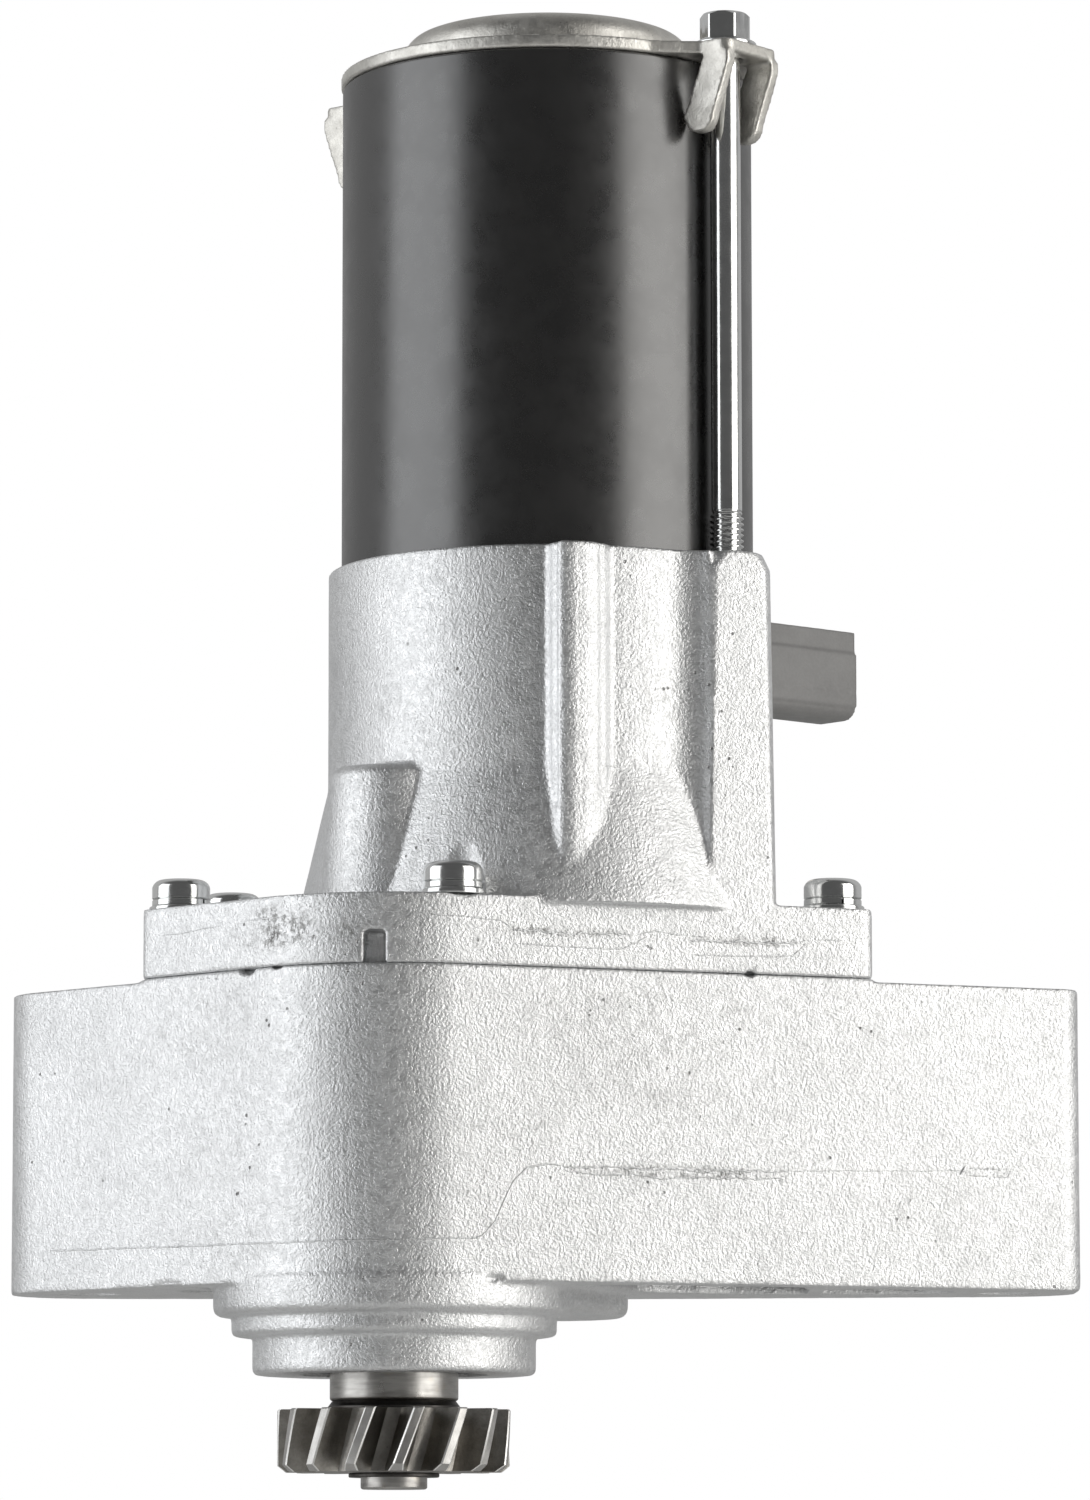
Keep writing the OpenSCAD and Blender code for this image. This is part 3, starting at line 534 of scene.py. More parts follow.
def value_noise(co, scale, seed):
    """Smooth noise from -1 to 1 at each point, one cell every scale mm, the same on every run."""
    q = co / scale + seed * 17.31
    i = np.floor(q).astype(np.int64)
    f = q - i
    f = f * f * (3 - 2 * f)

    def h(x, y, z):
        n = (x * 73856093) ^ (y * 19349663) ^ (z * 83492791) ^ (seed * 2654435761)
        n = (n ^ (n >> 13)) * 1274126177 & 0x7FFFFFFF
        return ((n ^ (n >> 16)) & 0xFFFF) / 32767.5 - 1

    total = 0
    for dx in (0, 1):
        for dy in (0, 1):
            for dz in (0, 1):
                w = (f[:, 0] if dx else 1 - f[:, 0]) * (f[:, 1] if dy else 1 - f[:, 1]) * (f[:, 2] if dz else 1 - f[:, 2])
                total = total + w * h(i[:, 0] + dx, i[:, 1] + dy, i[:, 2] + dz)
    return total


def float_attribute(me, name, values):
    a = me.attributes.new(name, "FLOAT", "POINT")
    a.data.foreach_set("value", np.asarray(values, np.float32))


def resample(path, step):
    pts = [Vector(p) for p in path]
    out = [pts[0]]
    for a, b in zip(pts, pts[1:]):
        n = max(1, round((b - a).length / step))
        out += [a.lerp(b, i / n) for i in range(1, n + 1)]
    return out


def ridges(me, lines, body_tree, seed):
    """Parting lines and flash: closed thin welts that follow the casting's skin.
    A line is (points (x, z) mm, half width, height, roughness 0..1)."""
    rnd = random.Random(seed)
    verts, faces = [], []
    for path, half, height, rough in lines:
        step = 0.30
        raw = resample([(x, z) for x, z in path], step)
        drift, hits = 0.0, []
        for p in raw:
            drift = drift * 0.75 + rnd.uniform(-1, 1) * 0.16 * rough
            hit = body_tree.ray_cast(Vector((p.x / 1000, -0.30, (p.y + drift) / 1000)), Vector((0, 1, 0)))
            if hit[0] is not None:
                hits.append((hit[0] * 1000, hit[1]))
        if len(hits) < 4:
            continue
        rings = []
        level = 1.0
        for k, (p, nrm) in enumerate(hits):
            a = hits[max(0, k - 1)][0]
            b = hits[min(len(hits) - 1, k + 1)][0]
            t = (b - a)
            if t.length < 1e-6:
                t = Vector((1, 0, 0))
            t.normalize()
            side = nrm.cross(t).normalized()
            ends = min(1.0, 0.25 + min(k, len(hits) - 1 - k) * 0.25)
            level = 0.6 * level + 0.4 * rnd.uniform(1 - 0.9 * rough, 1 + 0.9 * rough)
            w = half * (1 + rough * rnd.uniform(-0.35, 0.45)) * ends
            h = max(0.04, height * level) * ends
            ring = []
            for s, u in ((-1.0, -0.12), (-0.55, 0.55 * h), (0.0, h), (0.55, 0.6 * h), (1.0, -0.12), (0.0, -0.3)):
                q = p + side * (s * w) + nrm * u
                ring.append(len(verts))
                verts.append(q)
            rings.append(ring)
        for r0, r1 in zip(rings, rings[1:]):
            for i in range(6):
                j = (i + 1) % 6
                faces.append((r0[i], r0[j], r1[j], r1[i]))
        faces.append(tuple(rings[0]))
        faces.append(tuple(reversed(rings[-1])))
    return verts, faces


def crumbs(spots, body_tree, seed):
    """Small flakes of flash left on the skin: irregular low lumps, each a closed little mesh."""
    rnd = random.Random(seed)
    verts, faces = [], []
    for x0, x1, z0, z1, count, size in spots:
        for _ in range(count):
            x, z = rnd.uniform(x0, x1), rnd.uniform(z0, z1)
            hit = body_tree.ray_cast(Vector((x / 1000, -0.30, z / 1000)), Vector((0, 1, 0)))
            if hit[0] is None:
                continue
            p, nrm = hit[0] * 1000, hit[1]
            along = Vector((0, 0, 1)).cross(nrm).normalized()
            up = nrm.cross(along)
            a, b, h = size * rnd.uniform(0.6, 2.2), size * rnd.uniform(0.35, 0.8), size * rnd.uniform(0.25, 0.7)
            tilt = rnd.uniform(-0.35, 0.35)
            base = len(verts)
            m = 7
            for lvl, (f, e) in enumerate(((1.0, -0.15), (0.75, 0.6), (0.3, 1.0))):
                for i in range(m):
                    w = 2 * math.pi * i / m + tilt
                    j = rnd.uniform(0.75, 1.2)
                    verts.append(p + along * (a * f * j * math.cos(w)) + up * (b * f * j * math.sin(w)) + nrm * (h * e if e > 0 else -0.12))
            for lvl in range(2):
                for i in range(m):
                    k = (i + 1) % m
                    q = base + lvl * m
                    faces.append((q + i, q + k, q + m + k, q + m + i))
            faces.append(tuple(base + i for i in range(m)))
            faces.append(tuple(base + 2 * m + i for i in reversed(range(m))))
    return verts, faces


def tree_of(me):
    return BVHTree.FromPolygons([v.co for v in me.vertices], [tuple(p.vertices) for p in me.polygons])


def appended(me, verts, faces):
    """me with more closed shells in it."""
    bm = bmesh.new()
    bm.from_mesh(me)
    made = [bm.verts.new((v[0] / 1000, v[1] / 1000, v[2] / 1000)) for v in verts]
    new = [bm.faces.new([made[i] for i in f]) for f in faces]
    bmesh.ops.recalc_face_normals(bm, faces=new)
    for f in new:
        f.smooth = True
    bm.to_mesh(me)
    bm.free()


def press(co, spots, normal):
    """Nicks and dents: (x, y, z, rx, ry, rz, depth) in mm."""
    for x, y, z, rx, ry, rz, d in spots:
        q = ((co[:, 0] - x) / rx) ** 2 + ((co[:, 1] - y) / ry) ** 2 + ((co[:, 2] - z) / rz) ** 2
        co -= normal * (d * np.clip(1 - q, 0, 1) ** 0.6)[:, None]
    return co


def stain_and_shade_patches(co, spots, back):
    """Darkened patches on the front, partly real rubbing and dirt, partly painted shade along the flash crevices: (x,
    z, rx, rz, strength).
    """
    s = np.zeros(len(co))
    for x, z, rx, rz, k in spots:
        q = ((co[:, 0] - x) / rx) ** 2 + ((co[:, 2] - z) / rz) ** 2
        s = np.maximum(s, k * np.clip(1.25 * (1 - q), 0, 1))
    s[co[:, 1] > back] = 0
    return s


# ---------------------------------------------------------------------------
# castings
# ---------------------------------------------------------------------------
def casting(name, node, voxel, passes, lines, flakes, nicks, stain_and_shade_marks, back, seed):
    me = soft_cast(node, voxel, passes)
    co, no = get_co(me), normals(me)
    co = press(co, nicks, no)
    wave = 0.018 * value_noise(co, 9.0, seed) + 0.016 * value_noise(co, 2.3, seed + 1)
    co += no * wave[:, None]
    set_co(me, co)
    tree = tree_of(me)
    v1, f1 = ridges(me, lines, tree, seed)
    v2, f2 = crumbs(flakes, tree, seed + 5)
    v, f = join((v1, f1), (v2, f2))
    first = len(me.vertices)
    if v:
        appended(me, v, f)
    # darkening weights: the listed patches, and 0.15 on every flash ridge and flake, partly real staining, partly
    # painted shade of the flash crevices
    s = np.zeros(len(me.vertices))
    s[:first] = stain_and_shade_patches(co, stain_and_shade_marks, back)
    s[first:] = 0.15
    float_attribute(me, "StainAndShade", s)
    me.materials.append(MAT["cast_aluminium"])
    return add(name, me, BODY[node], SLOT[node], node)


hl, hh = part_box("gear_housing")
JOINT_Z = hh.z * 1000
casting(
    "housing_casting", "gear_housing", 0.46, 4,
    lines=[
        ([(-88, 7.3), (-60, 6.8), (-43, 6.6), (-26, 6.7), (-12.0, 7.3), (-10.6, 8.2), (-9.1, 10.0), (-7.8, 12.9), (-6.8, 15.2), (-5.7, 17.2), (-3.5, 19.3), (0.0, 20.2), (2.5, 20.0)], 0.22, 0.13, 0.35),
        ([(2.4, 19.8), (14, 19.7), (26, 19.7), (42, 19.8)], 0.22, 0.16, 0.9),
        ([(2.8, 18.9), (9, 18.6), (22, 18.3), (41.6, 18.5)], 0.16, 0.14, 1.0),
        ([(42, 19.9), (56, 20.3), (73, 20.8)], 0.16, 0.06, 0.4),
        ([(72.4, 20.0), (73.6, 21.6)], 0.3, 0.28, 0.8),
        ([(74, 21.2), (80.6, 21.2)], 0.2, 0.14, 0.7),
        ([(74, 19.9), (81, 19.8), (81.5, 20.8)], 0.15, 0.08, 0.5),
    ],
    flakes=[(2, 41, 18.2, 20.0, 70, 0.26), (6, 13, 20.2, 22.6, 10, 0.22), (74, 81, 19.8, 21.4, 10, 0.2), (-62, -52, 52.6, 53.4, 6, 0.25)],
    nicks=[(-52.0, -46.0, 54.0, 1.9, 2.2, 1.0, 1.1), (-46.5, -50.5, 54.1, 1.2, 1.5, 0.5, 0.5), (-8.9, -53.6, 0.3, 2.0, 1.6, 0.7, 0.9), (-68, -33, 0.0, 5.0, 4.0, 1.2, 0.5), (35, -35, 54.1, 1.0, 1.2, 0.5, 0.5)],
    # darkened patches: the strong narrow band on the parting line is painted shade of the flash crevices, partly oxide;
    # the wide faint ones darken the skin in patches
    stain_and_shade_marks=[(-60, 45, 12, 9, 0.18), (-58, 20, 10, 12, 0.12), (-12, 20, 7, 14, 0.12), (20, 45, 26, 9, 0.22), (16, 34, 16, 8, 0.2), (-55, 7, 12, 7, 0.2), (-4, 25, 5, 7, 0.2),
           (22, 19.2, 21, 1.5, 0.7), (-34, 30, 10, 22, 0.10), (60, 33, 12, 7, 0.08), (-20, 50, 14, 4, 0.15)],
    back=20, seed=11,
)
bl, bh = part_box("motor_bracket")
casting(
    "bracket_casting", "motor_bracket", 0.46, 4,
    lines=[
        ([(-67.5, 61.2), (-57, 62.0)], 0.16, 0.10, 0.5),
        ([(-52, 62.4), (-45, 62.6)], 0.16, 0.10, 0.5),
        ([(-29, 63.0), (-8, 61.8), (-6, 60.4)], 0.18, 0.09, 0.4),
        ([(-6.2, 60.2), (0, 59.9), (6, 60.1), (12.6, 60.1), (15.5, 60.2)], 0.22, 0.17, 1.0),
        ([(15.5, 60.2), (18.5, 61.0), (20.5, 60.6), (24.6, 60.4)], 0.16, 0.10, 0.5),
        ([(24.6, 59.5), (35, 59.6), (44.0, 59.6), (45.2, 60.4)], 0.24, 0.20, 0.8),
        ([(-5, 57.9), (2, 57.6), (13.0, 57.6), (17.4, 60.0)], 0.20, 0.10, 0.25),
        ([(25, 57.0), (38, 57.2), (42.8, 57.5), (45.2, 59.6)], 0.20, 0.10, 0.25),
        ([(47.5, 60.5), (52, 60.5)], 0.14, 0.08, 0.5),
        ([(9.3, 89.5), (13.0, 89.6)], 0.22, 0.13, 0.5),
    ],
    flakes=[(-5, 13, 59.4, 60.8, 26, 0.24), (24.6, 45, 59.0, 60.4, 22, 0.24), (-23, -13, 64.2, 65.6, 8, 0.25)],
    nicks=[(35.2, -35.0, 54.4, 0.9, 1.2, 0.7, 0.5), (-13, -56, 66.3, 4.0, 2.0, 0.6, 0.4)],
    # darkened patches: the strong narrow bands on the parting lines are painted shade of the flash crevices, partly
    # oxide; the wide faint ones darken the skin in patches
    stain_and_shade_marks=[(-47, 60.6, 8.5, 4.6, 0.8), (-33, 58.8, 5, 4, 0.55), (-20, 65, 8, 1.8, 0.5), (2, 60.2, 12, 1.2, 0.7), (35, 59.8, 11, 1.1, 0.7),
           (-14, 96, 20, 11, 0.13), (4, 84, 30, 8, 0.10), (24, 88, 12, 10, 0.10), (20, 101, 5, 5, 0.28), (-18, 74, 10, 7, 0.13), (-10, 110, 12, 12, 0.08), (-28, 102, 4, 5, 0.2)],
    back=20, seed=23,
)

# ---------------------------------------------------------------------------
# motor: tube, end plate, through bolts
# ---------------------------------------------------------------------------
yl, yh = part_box("yoke")
R = (yh.x - yl.x) * 500
WALL = 3.2
y0, y1 = yl.z * 1000, yh.z * 1000
lead_lo, lead_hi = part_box("motor_lead")
tube = make("motor_tube", *lathe(rounded([(R - WALL, y0, 0.25), (R, y0, 0.5), (R, y1, 0.7), (R - WALL, y1, 0.25)], 5), M, 288))
hole = make("hole_cutter", *lathe([(0, 0), (4.2, 0), (4.2, 22), (0, 22)], (0, 0), 72, closed=False))
hole.transform(Matrix.Translation((0.0, 0.042, 0.206)) @ Matrix.Rotation(math.radians(90), 4, "X"))
cutter = bpy.data.objects.new("hole_cutter", hole)
scene.collection.objects.link(cutter)
tube = evaluated(tube, ("BOOLEAN", {"operation": "DIFFERENCE", "object": cutter, "solver": "EXACT"}))
bpy.data.objects.remove(cutter)
tube.shade_smooth()
tube.set_sharp_from_angle(angle=math.radians(38))
add("motor_tube", tube, BODY["yoke"], "black_paint", "yoke")

plate = soft_cast("end_plate", 0.38, 3)
co, no = get_co(plate), normals(plate)
rim = np.clip(1 - np.abs(no[:, 2]) * 1.4, 0, 1)  # sheared edges are ragged, faces are only a little wavy
co += no * ((0.015 * value_noise(co, 6.0, 31) + rim * (0.028 * value_noise(co, 0.8, 32) + 0.02 * value_noise(co, 1.7, 33)))[:, None])
set_co(plate, co)
plate.materials.append(MAT["zinc_plate"])
add("end_cap_pressing", plate, BODY["end_plate"], SLOT["end_plate"], "end_plate")


def thread_radius(root, crest, pitch, z_hi):
    def r(a, z):
        t = ((z - pitch * a / (2 * math.pi)) / pitch) % 1.0
        d = abs(2 * t - 1)
        s = min(1.0, max(0.0, (d - 0.12) / 0.72))
        s = s * s * (3 - 2 * s) * 0.35 + s * 0.65
        fade = min(1.0, max(0.0, (z_hi - z) / 1.1))
        return root + (crest - root) * (s * fade + (1 - fade) * 0.15)
    return r


def hex_head(at, z0, z1, af, turn, chamfer=0.55, n=96):
    """Cold formed hexagon with the usual chamfer on top, a dished top and soft corners."""
    verts, faces = [], []
    rows = []
    half = af / 2

    def side(a):
        w = (a - turn + math.pi / 6) % (math.pi / 3) - math.pi / 6
        r = half / math.cos(w)
        return min(r, half / math.cos(math.pi / 6) - 0.12)

    edge = half * 0.985
    slope = math.tan(math.radians(30))
    spec = [("wall", z0), ("wall", z0 + 0.4), ("top", 0), ("ring", edge), ("ring", half * 0.80), ("ring", half * 0.66), ("ring", half * 0.40)]
    for kind, val in spec:
        row = []
        for i in range(n):
            a = 2 * math.pi * i / n
            if kind == "wall":
                r, z = side(a), val
            elif kind == "top":
                r = side(a)
                z = z1 - max(0.12, (r - edge) * slope * 1.5 + 0.12)
            else:
                r = val
                z = z1 if val > half * 0.7 else (z1 - 0.28 if val > half * 0.5 else z1 - 0.38)
                if val == edge:
                    z = z1 - 0.05
            row.append(len(verts))
            verts.append((at[0] + r * math.cos(a), at[1] + r * math.sin(a), z))
        rows.append(row)
    for a, b in zip(rows, rows[1:]):
        for i in range(n):
            j = (i + 1) % n
            faces.append((a[i], a[j], b[j], b[i]))
    for row, z in ((rows[0], z0), (rows[-1], z1 - 0.38)):
        c = len(verts)
        verts.append((at[0], at[1], z))
        for i in range(n):
            faces.append((row[i], row[(i + 1) % n], c))
    return verts, faces


parts = []
plate_top = y1 + 2.3
for k, (lo, hi) in enumerate(islands("through_bolts")):
    at = ((lo[0] + hi[0]) / 2, (lo[1] + hi[1]) / 2)
    z0, z1 = float(lo[2]), float(hi[2])
    z_run = 136.4
    thread = thread_radius(2.44, 2.97, 1.0, z_run)

    def bolt_r(a, z):
        if z <= z0 + 1.0:
            return min(thread(a, z), 2.2 + 0.7 * (z - z0))
        if z < z_run:
            return thread(a, z)
        return 2.7

    rows = list(np.arange(z0, z_run, 0.085)) + [z_run, z_run + 0.4, 150.0, 180.0, 205.0, plate_top + 0.2]
    parts.append(field(rows, bolt_r, at, 56))
    zf = z1 - 4.8 - 1.3
    parts.append(lathe(rounded([(0, zf + 0.01, 0), (5.6, zf + 0.01, 0.3), (5.6, zf + 0.75, 0.3), (4.35, z1 - 4.8 + 0.15, 0.3), (0, z1 - 4.8 + 0.15, 0)], 4), at, 96, closed=False))
    parts.append(hex_head(at, z1 - 4.8 - 0.1, z1, 8.0, math.radians(8 + 11 * k)))
bolts = make("through_bolt_pair", *join(*parts), sharp=32)
add("through_bolt_pair", bolts, BODY["through_bolts"], SLOT["through_bolts"], "through_bolts")


# ---------------------------------------------------------------------------
# bracket screws with their captive washers
# ---------------------------------------------------------------------------
def cross_cutter(z):
    """Tapered cross for the recess."""
    verts, faces = [], []
    for turn in (0, math.pi / 2):
        o = len(verts)
        for zz, l, w in ((z + 0.3, 2.55, 0.62), (z - 2.1, 1.05, 0.34)):
            for sx, sy in ((-1, -1), (1, -1), (1, 1), (-1, 1)):
                x, y = sx * l, sy * w
                verts.append((x * math.cos(turn) - y * math.sin(turn), x * math.sin(turn) + y * math.cos(turn), zz + 0.003 * (turn > 0)))
        faces += [(o, o + 1, o + 2, o + 3), (o + 7, o + 6, o + 5, o + 4)]
        faces += [(o + i, o + 4 + i, o + 4 + (i + 1) % 4, o + (i + 1) % 4) for i in range(4)]
    return verts, faces


screw_boxes = islands("bracket_screws")
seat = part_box("screw_spring_washers")[1].z * 1000 + 0.01
top = float(screw_boxes[0][1][2])
head_r = (screw_boxes[0][1][0] - screw_boxes[0][0][0]) / 2
profile = [(0, top), (2.6, top)] + arc(3.32, top - 1.86, 1.84, 88, 14, 10) + [(head_r, top - 2.1), (head_r, seat + 0.25), (head_r - 0.22, seat + 0.03), (2.48, seat)]
low = float(screw_boxes[0][0][2])
screw_thread = thread_radius(2.06, 2.48, 0.8, 60.0)
one = make("screw_head", *lathe(profile + [(2.48, seat - 0.3), (0, seat - 0.3)], (0, 0), 96, closed=False), sharp=30)
cut = bpy.data.objects.new("cross_cutter", make("cross_cutter", *cross_cutter(top)))
scene.collection.objects.link(cut)
one = evaluated(one, ("BOOLEAN", {"operation": "DIFFERENCE", "object": cut, "solver": "EXACT", "use_self": True}))
bpy.data.objects.remove(cut)
head_v = [tuple(v.co * 1000) for v in one.vertices]
head_f = [tuple(p.vertices) for p in one.polygons]
rows = [low, low + 0.3] + list(np.arange(low + 0.4, 60.0, 0.1)) + [60.0, 63.0, seat - 0.1]
shank_v, shank_f = field(rows, lambda a, z: 1.7 if z < low + 0.2 else (screw_thread(a, z) if z < 60 else 2.3), (0, 0), 40)
rnd = random.Random(5)
parts, springs, flats = [], [], []
sl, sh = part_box("screw_spring_washers")
pl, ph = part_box("screw_plain_washers")


def split_ring(r0, r1, z0, z1, start, gap, rise, at, n=84):
    """Spring washer: a square section wound once, its two ends a little apart."""
    verts, faces = [], []
    sec = [(r0, z0), (r1 - 0.12, z0), (r1, z0 + 0.12), (r1, z1 - 0.12), (r1 - 0.12, z1), (r0, z1)]
    for i in range(n + 1):
        a = start + gap / 2 + (2 * math.pi - gap) * i / n
        dz = rise * (i / n - 0.5)
        for r, z in sec:
            verts.append((at[0] + r * math.cos(a), at[1] + r * math.sin(a), z + dz))
    k = len(sec)
    for i in range(n):
        for j in range(k):
            q = (j + 1) % k
            faces.append((i * k + j, i * k + q, (i + 1) * k + q, (i + 1) * k + j))
    faces.append(tuple(range(k)))
    faces.append(tuple(n * k + j for j in reversed(range(k))))
    return verts, faces


gap_at = {0: -0.62, 1: -1.2, 2: -0.15, 3: 2.0, 4: -1.25}
for k, (lo, hi) in enumerate(screw_boxes):
    at = (float(lo[0] + hi[0]) / 2, float(lo[1] + hi[1]) / 2)
    w = rnd.uniform(0, math.pi)
    c, s = math.cos(w), math.sin(w)
    parts.append(([(at[0] + x * c - y * s, at[1] + x * s + y * c, z) for x, y, z in head_v], head_f))
    parts.append(([(at[0] + x, at[1] + y, z) for x, y, z in shank_v], shank_f))
    springs.append(split_ring(2.6, 5.1, sl.z * 1000 + 0.05, sh.z * 1000 - 0.05, gap_at.get(k, -0.5), 0.085, 0.08, at))
    flats.append(lathe(rounded([(2.6, pl.z * 1000, 0.08), (5.6, pl.z * 1000, 0.2), (5.6, ph.z * 1000, 0.28), (2.6, ph.z * 1000, 0.1)], 3), at, 96))
add("bracket_screw_set", make("bracket_screw_set", *join(*parts), sharp=30), BODY["bracket_screws"], SLOT["bracket_screws"], "bracket_screws")
add("spring_washer_set", make("spring_washer_set", *join(*springs), sharp=25), BODY["screw_spring_washers"], SLOT["screw_spring_washers"], "screw_spring_washers")
add("plain_washer_set", make("plain_washer_set", *join(*flats), sharp=25), BODY["screw_plain_washers"], SLOT["screw_plain_washers"], "screw_plain_washers")

# ---------------------------------------------------------------------------
# output end: shaft, spacer, helical pinion, washer
# ---------------------------------------------------------------------------
sl_, sh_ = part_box("pinion_shaft")
z_end, z_top = sl_.z * 1000, sh_.z * 1000
outer = rounded([
    (0, z_end, 0), (5.8, z_end, 0.45), (5.8, -32.2, 0.15), (8.0, -32.2, 0.3), (8.0, -19.7, 0.1),
    (11.2, -19.7, 0.5), (11.2, 9.5, 0.6), (7.9, 9.5, 0.3), (7.9, 9.9, 0), (0, 9.9, 0)], 4)


def spline_r(a, z):
    w = (a - math.radians(15) + math.pi / 12) % (math.pi / 6) - math.pi / 12
    inside = abs(7.5 * math.sin(w)) < 0.95
    return 6.95 if inside else 7.95


spline = field([9.6, 20.0, 30.0, 37.9], spline_r, P, 240)
stem = lathe(rounded([(0, 37.7, 0), (6.0, 37.7, 0), (6.0, z_top, 0.6), (0, z_top, 0)], 4), P, 96, closed=False)
shaft = make("output_shaft", *join(lathe(outer, P, 160, closed=False), spline, stem), sharp=35)
shaft.materials.append(MAT["shaft_steel"])
add("output_shaft", shaft, BODY["pinion_shaft"], SLOT["pinion_shaft"], "pinion_shaft")

gl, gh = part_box("output_pinion")
g0, g1 = gl.z * 1000, gh.z * 1000
TEETH, TIP, TWIST, START = 15, 20.3, 11.5, 8.2
FLANK = [(15.1, 7.4), (16.2, 5.9), (17.2, 5.15), (18.0, 4.5), (19.0, 3.7), (20.3, 2.6)]


def half_angle(r):
    for (ra, wa), (rb, wb) in zip(FLANK, FLANK[1:]):
        if r <= rb:
            return wa + (wb - wa) * (r - ra) / (rb - ra)
    return FLANK[-1][1]


def gear():
    verts, faces, mats = [], [], []
    levels = []
    depth = g1 - g0
    n = 30
    for i in range(n + 1):
        z = g0 + depth * i / n
        levels.append(z)
    levels = sorted(set(levels + [g0 + 0.55, g0 + 1.15, g1 - 0.25]))
    rows = []
    for z in levels:
        tip = TIP
        if z < g0 + 1.15:
            tip = TIP - 1.45 * (1 - (z - g0) / 1.15)
        if z > g1 - 0.25:
            tip = TIP - 0.25 * (1 - (g1 - z) / 0.25)
        turn = START + TWIST * (z - g0) / depth
        row = []
        for k in range(TEETH):
            base = k * 360 / TEETH + turn
            rs = [15.1, 15.45, 16.2, 17.0, 17.9, 18.8 if tip > 19.4 else (17.9 + tip - 0.2) / 2, tip - 0.2, tip]
            side = []
            for r in rs:
                w = half_angle(r)
                if r == rs[-1]:
                    w = half_angle(tip) - 0.62
                side.append((r, w))
            pts = [(r, -w) for r, w in side] + [(tip, 0.0)] + [(r, w) for r, w in reversed(side)] + [(14.93, 9.4), (14.88, 12.0), (14.93, 14.6)]
            for r, w in pts:
                a = math.radians(base + w)
                row.append(len(verts))
                verts.append((P[0] + r * math.cos(a), P[1] + r * math.sin(a), z))
        rows.append(row)
    m = len(rows[0])
    per = m // TEETH
    for a, b in zip(rows, rows[1:]):
        for i in range(m):
            j = (i + 1) % m
            faces.append((a[i], a[j], b[j], b[i]))
            q = i % per
            # tip edge faces take the near-white painted highlight, land faces the lighter painted-highlight copy, all
            # other faces the dark painted-shade flank
            mats.append(2 if q in (6, 9) else (1 if q in (7, 8) else 0))
    # end faces: ring from the tooth outline in to the bore
    bore = 8.02
    ends = []
    for row, z in ((rows[0], g0), (rows[-1], g1)):
        inner = []
        for i in row:
            x, y = verts[i][0] - P[0], verts[i][1] - P[1]
            l = math.hypot(x, y)
            inner.append(len(verts))
            verts.append((P[0] + x / l * bore, P[1] + y / l * bore, z))
        ends.append(inner)
        for i in range(m):
            j = (i + 1) % m
            faces.append((row[i], row[j], inner[j], inner[i]))
            mats.append(0)
    for i in range(m):
        j = (i + 1) % m
        faces.append((ends[0][i], ends[0][j], ends[1][j], ends[1][i]))
        mats.append(0)
    return verts, faces, mats


gv, gf, gm = gear()
pinion = bpy.data.meshes.new("helical_pinion")
pinion.from_pydata([(x / 1000, y / 1000, z / 1000) for x, y, z in gv], [], gf)
pinion.materials.append(MAT["gear_flank_painted_shade"])
pinion.materials.append(MAT["gear_land_painted_highlight"])
pinion.materials.append(MAT["gear_tip_painted_highlight"])
pinion.polygons.foreach_set("material_index", gm)
bm = bmesh.new()
bm.from_mesh(pinion)
bmesh.ops.recalc_face_normals(bm, faces=bm.faces)
bm.to_mesh(pinion)
bm.free()
pinion.shade_smooth()
pinion.set_sharp_from_angle(angle=math.radians(24))
add("helical_pinion", pinion, BODY["output_pinion"], SLOT["output_pinion"], "output_pinion")

zl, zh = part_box("pinion_spacer")
a0, a1 = zl.z * 1000, zh.z * 1000
spacer = make("spacer_ring", *lathe(rounded([(8.05, a0, 0.1), (11.55, a0, 0.15), (11.5, a0 + 0.5, 0.2), (10.75, a1, 0.1), (8.05, a1, 0.1)], 3), P, 128), sharp=30)
add("spacer_ring", spacer, BODY["pinion_spacer"], "dark_oxide", "pinion_spacer")
zl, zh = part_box("pinion_washer")
a0, a1 = zl.z * 1000, zh.z * 1000
washer = make("stop_washer", *lathe(rounded([(5.85, a0, 0.1), (7.9, a0, 0.25), (7.9, a1, 0.2), (5.85, a1, 0.1)], 4), P, 128), sharp=30)
add("stop_washer", washer, BODY["pinion_washer"], "dark_oxide", "pinion_washer")

# ---------------------------------------------------------------------------
# solenoid end: cap with the plug socket, moulded edges
# ---------------------------------------------------------------------------
cap = soft_cast("solenoid_cap", 0.34, 3)
co, no = get_co(cap), normals(cap)
co += no * ((0.02 * value_noise(co, 7.0, 41))[:, None])
set_co(cap, co)
cap.materials.append(MAT["grey_plastic"])
add("socket_cap_moulding", cap, BODY["solenoid_cap"], SLOT["solenoid_cap"], "solenoid_cap")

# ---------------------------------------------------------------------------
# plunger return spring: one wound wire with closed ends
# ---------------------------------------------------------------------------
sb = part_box("plunger_spring")
sx, sy = (sb[0][0] + sb[1][0]) * 500, (sb[0][1] + sb[1][1]) * 500
z_lo, z_hi = sb[0][2] * 1000, sb[1][2] * 1000
wire, coil_r, turns, sides, per = 0.55, 4.2, 9.0, 8, 28
verts, faces = [], []
steps = int(turns * per)
for i in range(steps + 1):
    t = i / per
    a = 2 * math.pi * t
    if t < 1:
        z = z_lo + wire + 1.15 * t
    elif t > turns - 1:
        z = z_hi - wire - 1.15 * (turns - t)
    else:
        z = z_lo + wire + 1.15 + (z_hi - z_lo - 2 * wire - 2.3) * (t - 1) / (turns - 2)
    for j in range(sides):
        w = 2 * math.pi * j / sides
        q = coil_r + wire * math.cos(w)
        verts.append((sx + q * math.cos(a), sy + q * math.sin(a), z + wire * math.sin(w)))
for i in range(steps):
    for j in range(sides):
        k = (j + 1) % sides
        faces.append((i * sides + j, i * sides + k, (i + 1) * sides + k, (i + 1) * sides + j))
faces.append(tuple(range(sides)))
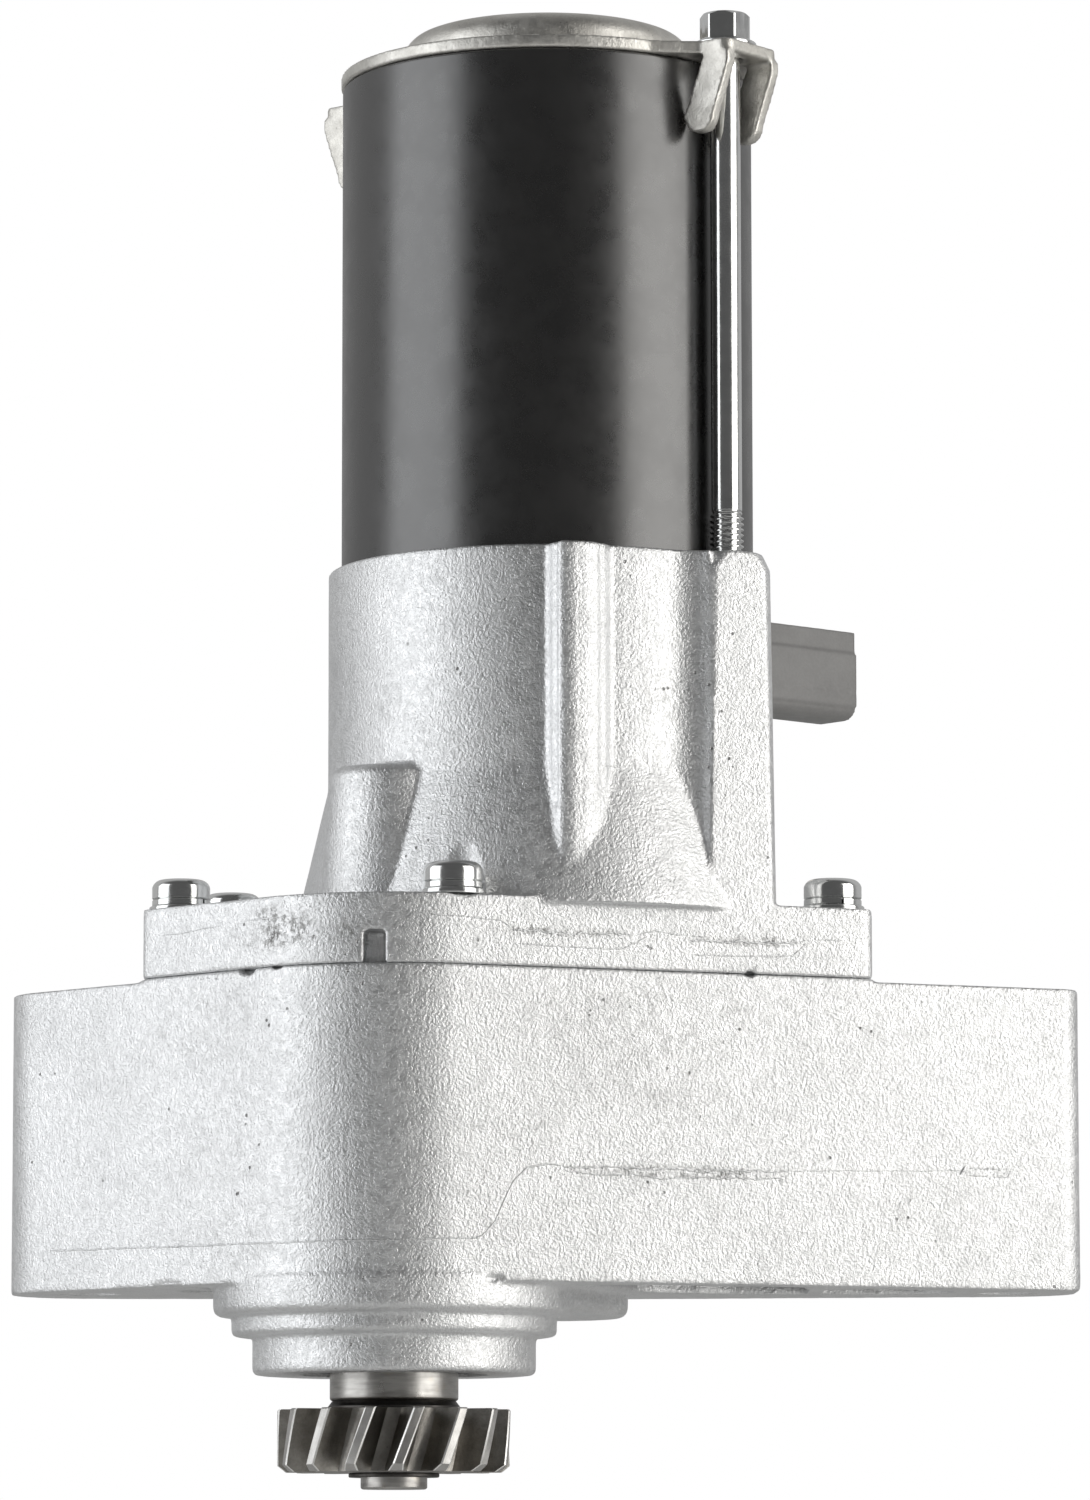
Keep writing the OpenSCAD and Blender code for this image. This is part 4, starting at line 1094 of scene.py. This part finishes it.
faces.append(tuple(steps * sides + j for j in reversed(range(sides))))
coil = add("plunger_spring_coil", make("plunger_spring_coil", verts, faces), BODY["plunger_spring"], SLOT["plunger_spring"], "plunger_spring")
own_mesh(coil)

# ---------------------------------------------------------------------------
# the other CAD nodes keep their shape and take their slot's material
# ---------------------------------------------------------------------------
for n, ob in NODES.items():
    if ob.hide_render:
        continue
    paint(ob, SLOT[n])
    for p in ob.data.polygons:
        p.material_index = 0

# ---------------------------------------------------------------------------
# floor, light, camera
# ---------------------------------------------------------------------------
LO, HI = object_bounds()
floor_z = LO[2] - 0.30
fm = bpy.data.meshes.new("floor")
fv, ff = [], []
for k, rr in enumerate((0.0, 1.0, 3.0, 8.0)):
    for i in range(48):
        a = 2 * math.pi * i / 48
        fv.append((rr * math.cos(a), rr * math.sin(a), floor_z))
for k in range(3):
    for i in range(48):
        j = (i + 1) % 48
        ff.append((k * 48 + i, k * 48 + j, (k + 1) * 48 + j, (k + 1) * 48 + i))
fm.from_pydata(fv, [], ff)
bmf = bmesh.new()
bmf.from_mesh(fm)
bmesh.ops.remove_doubles(bmf, verts=bmf.verts, dist=1e-6)
bmesh.ops.recalc_face_normals(bmf, faces=bmf.faces)
bmf.to_mesh(fm)
bmf.free()
floor = bpy.data.objects.new("floor", fm)
scene.collection.objects.link(floor)
fm.materials.append(FLOOR)

world = bpy.data.worlds.new("studio")
scene.world = world
world.use_nodes = True
wt = world.node_tree
wt.nodes.clear()
wo = wt.nodes.new("ShaderNodeOutputWorld")
mixs = wt.nodes.new("ShaderNodeMixShader")
lp = wt.nodes.new("ShaderNodeLightPath")
seen = wt.nodes.new("ShaderNodeBackground")
seen.inputs["Color"].default_value = (1, 1, 1, 1)
seen.inputs["Strength"].default_value = 1.0
lit = wt.nodes.new("ShaderNodeBackground")
tcw = wt.nodes.new("ShaderNodeTexCoord")
sep = wt.nodes.new("ShaderNodeSeparateXYZ")
mr = wt.nodes.new("ShaderNodeMapRange")
mr.interpolation_type = "SMOOTHSTEP"
mr.inputs["From Min"].default_value = -0.15
mr.inputs["From Max"].default_value = 0.45
mr.inputs["To Min"].default_value = 0.095
mr.inputs["To Max"].default_value = 0.45
wt.links.new(tcw.outputs["Generated"], sep.inputs[0])
wt.links.new(sep.outputs["Y"], mr.inputs["Value"])
wt.links.new(mr.outputs[0], lit.inputs["Strength"])
lit.inputs["Color"].default_value = (1.0, 1.0, 1.0, 1)
wt.links.new(lp.outputs["Is Camera Ray"], mixs.inputs[0])
wt.links.new(lit.outputs[0], mixs.inputs[1])
wt.links.new(seen.outputs[0], mixs.inputs[2])
wt.links.new(mixs.outputs[0], wo.inputs[0])


def softbox(name, azimuth, distance, z, width, height, radiance, color):
    """A tall soft box, azimuth in degrees from the camera side (-Y), positive to +X, facing the object."""
    a = math.radians(azimuth)
    loc = Vector((math.sin(a) * distance, -math.cos(a) * distance, z))
    ld = bpy.data.lights.new(name, "AREA")
    ld.shape = "RECTANGLE"
    ld.size, ld.size_y = width, height
    ld.energy = radiance * width * height * math.pi
    ld.color = color
    lo = bpy.data.objects.new(name, ld)
    lo.location = loc
    lo.rotation_euler = (Vector((0, 0, 0.09)) - loc).to_track_quat("-Z", "Y").to_euler()
    lo.visible_camera = False
    scene.collection.objects.link(lo)
    return lo


softbox("key_right", 65, 1.20, 0.10, 0.95, 2.0, 2.52, (1.0, 0.985, 0.955))
softbox("key_left", -73.5, 1.20, 0.10, 1.04, 2.0, 1.78, (0.97, 0.985, 1.0))

cam_data = bpy.data.cameras.new("camera")
cam_data.lens = 163.2
cam_data.sensor_width = 36.0
cam_data.sensor_fit = "AUTO"
cam_data.clip_start = 0.05
cam_data.clip_end = 50
cam = bpy.data.objects.new("camera", cam_data)
scene.collection.objects.link(cam)
pitch, roll = math.radians(7.124), math.radians(-0.05)
forward = Vector((0, math.cos(pitch), math.sin(pitch)))
right = Vector((1, 0, 0))
up = Vector((0, -math.sin(pitch), math.cos(pitch)))
r2 = right * math.cos(roll) + up * math.sin(roll)
u2 = -right * math.sin(roll) + up * math.cos(roll)
cam.matrix_world = Matrix((
    (r2.x, u2.x, -forward.x, -0.00045),
    (r2.y, u2.y, -forward.y, -1.2153),
    (r2.z, u2.z, -forward.z, -0.05405),
    (0, 0, 0, 1)))
scene.camera = cam
scene.view_settings.view_transform = "Standard"
scene.view_settings.look = "None"
scene.view_settings.exposure = 0.0
scene.view_settings.gamma = 1.0
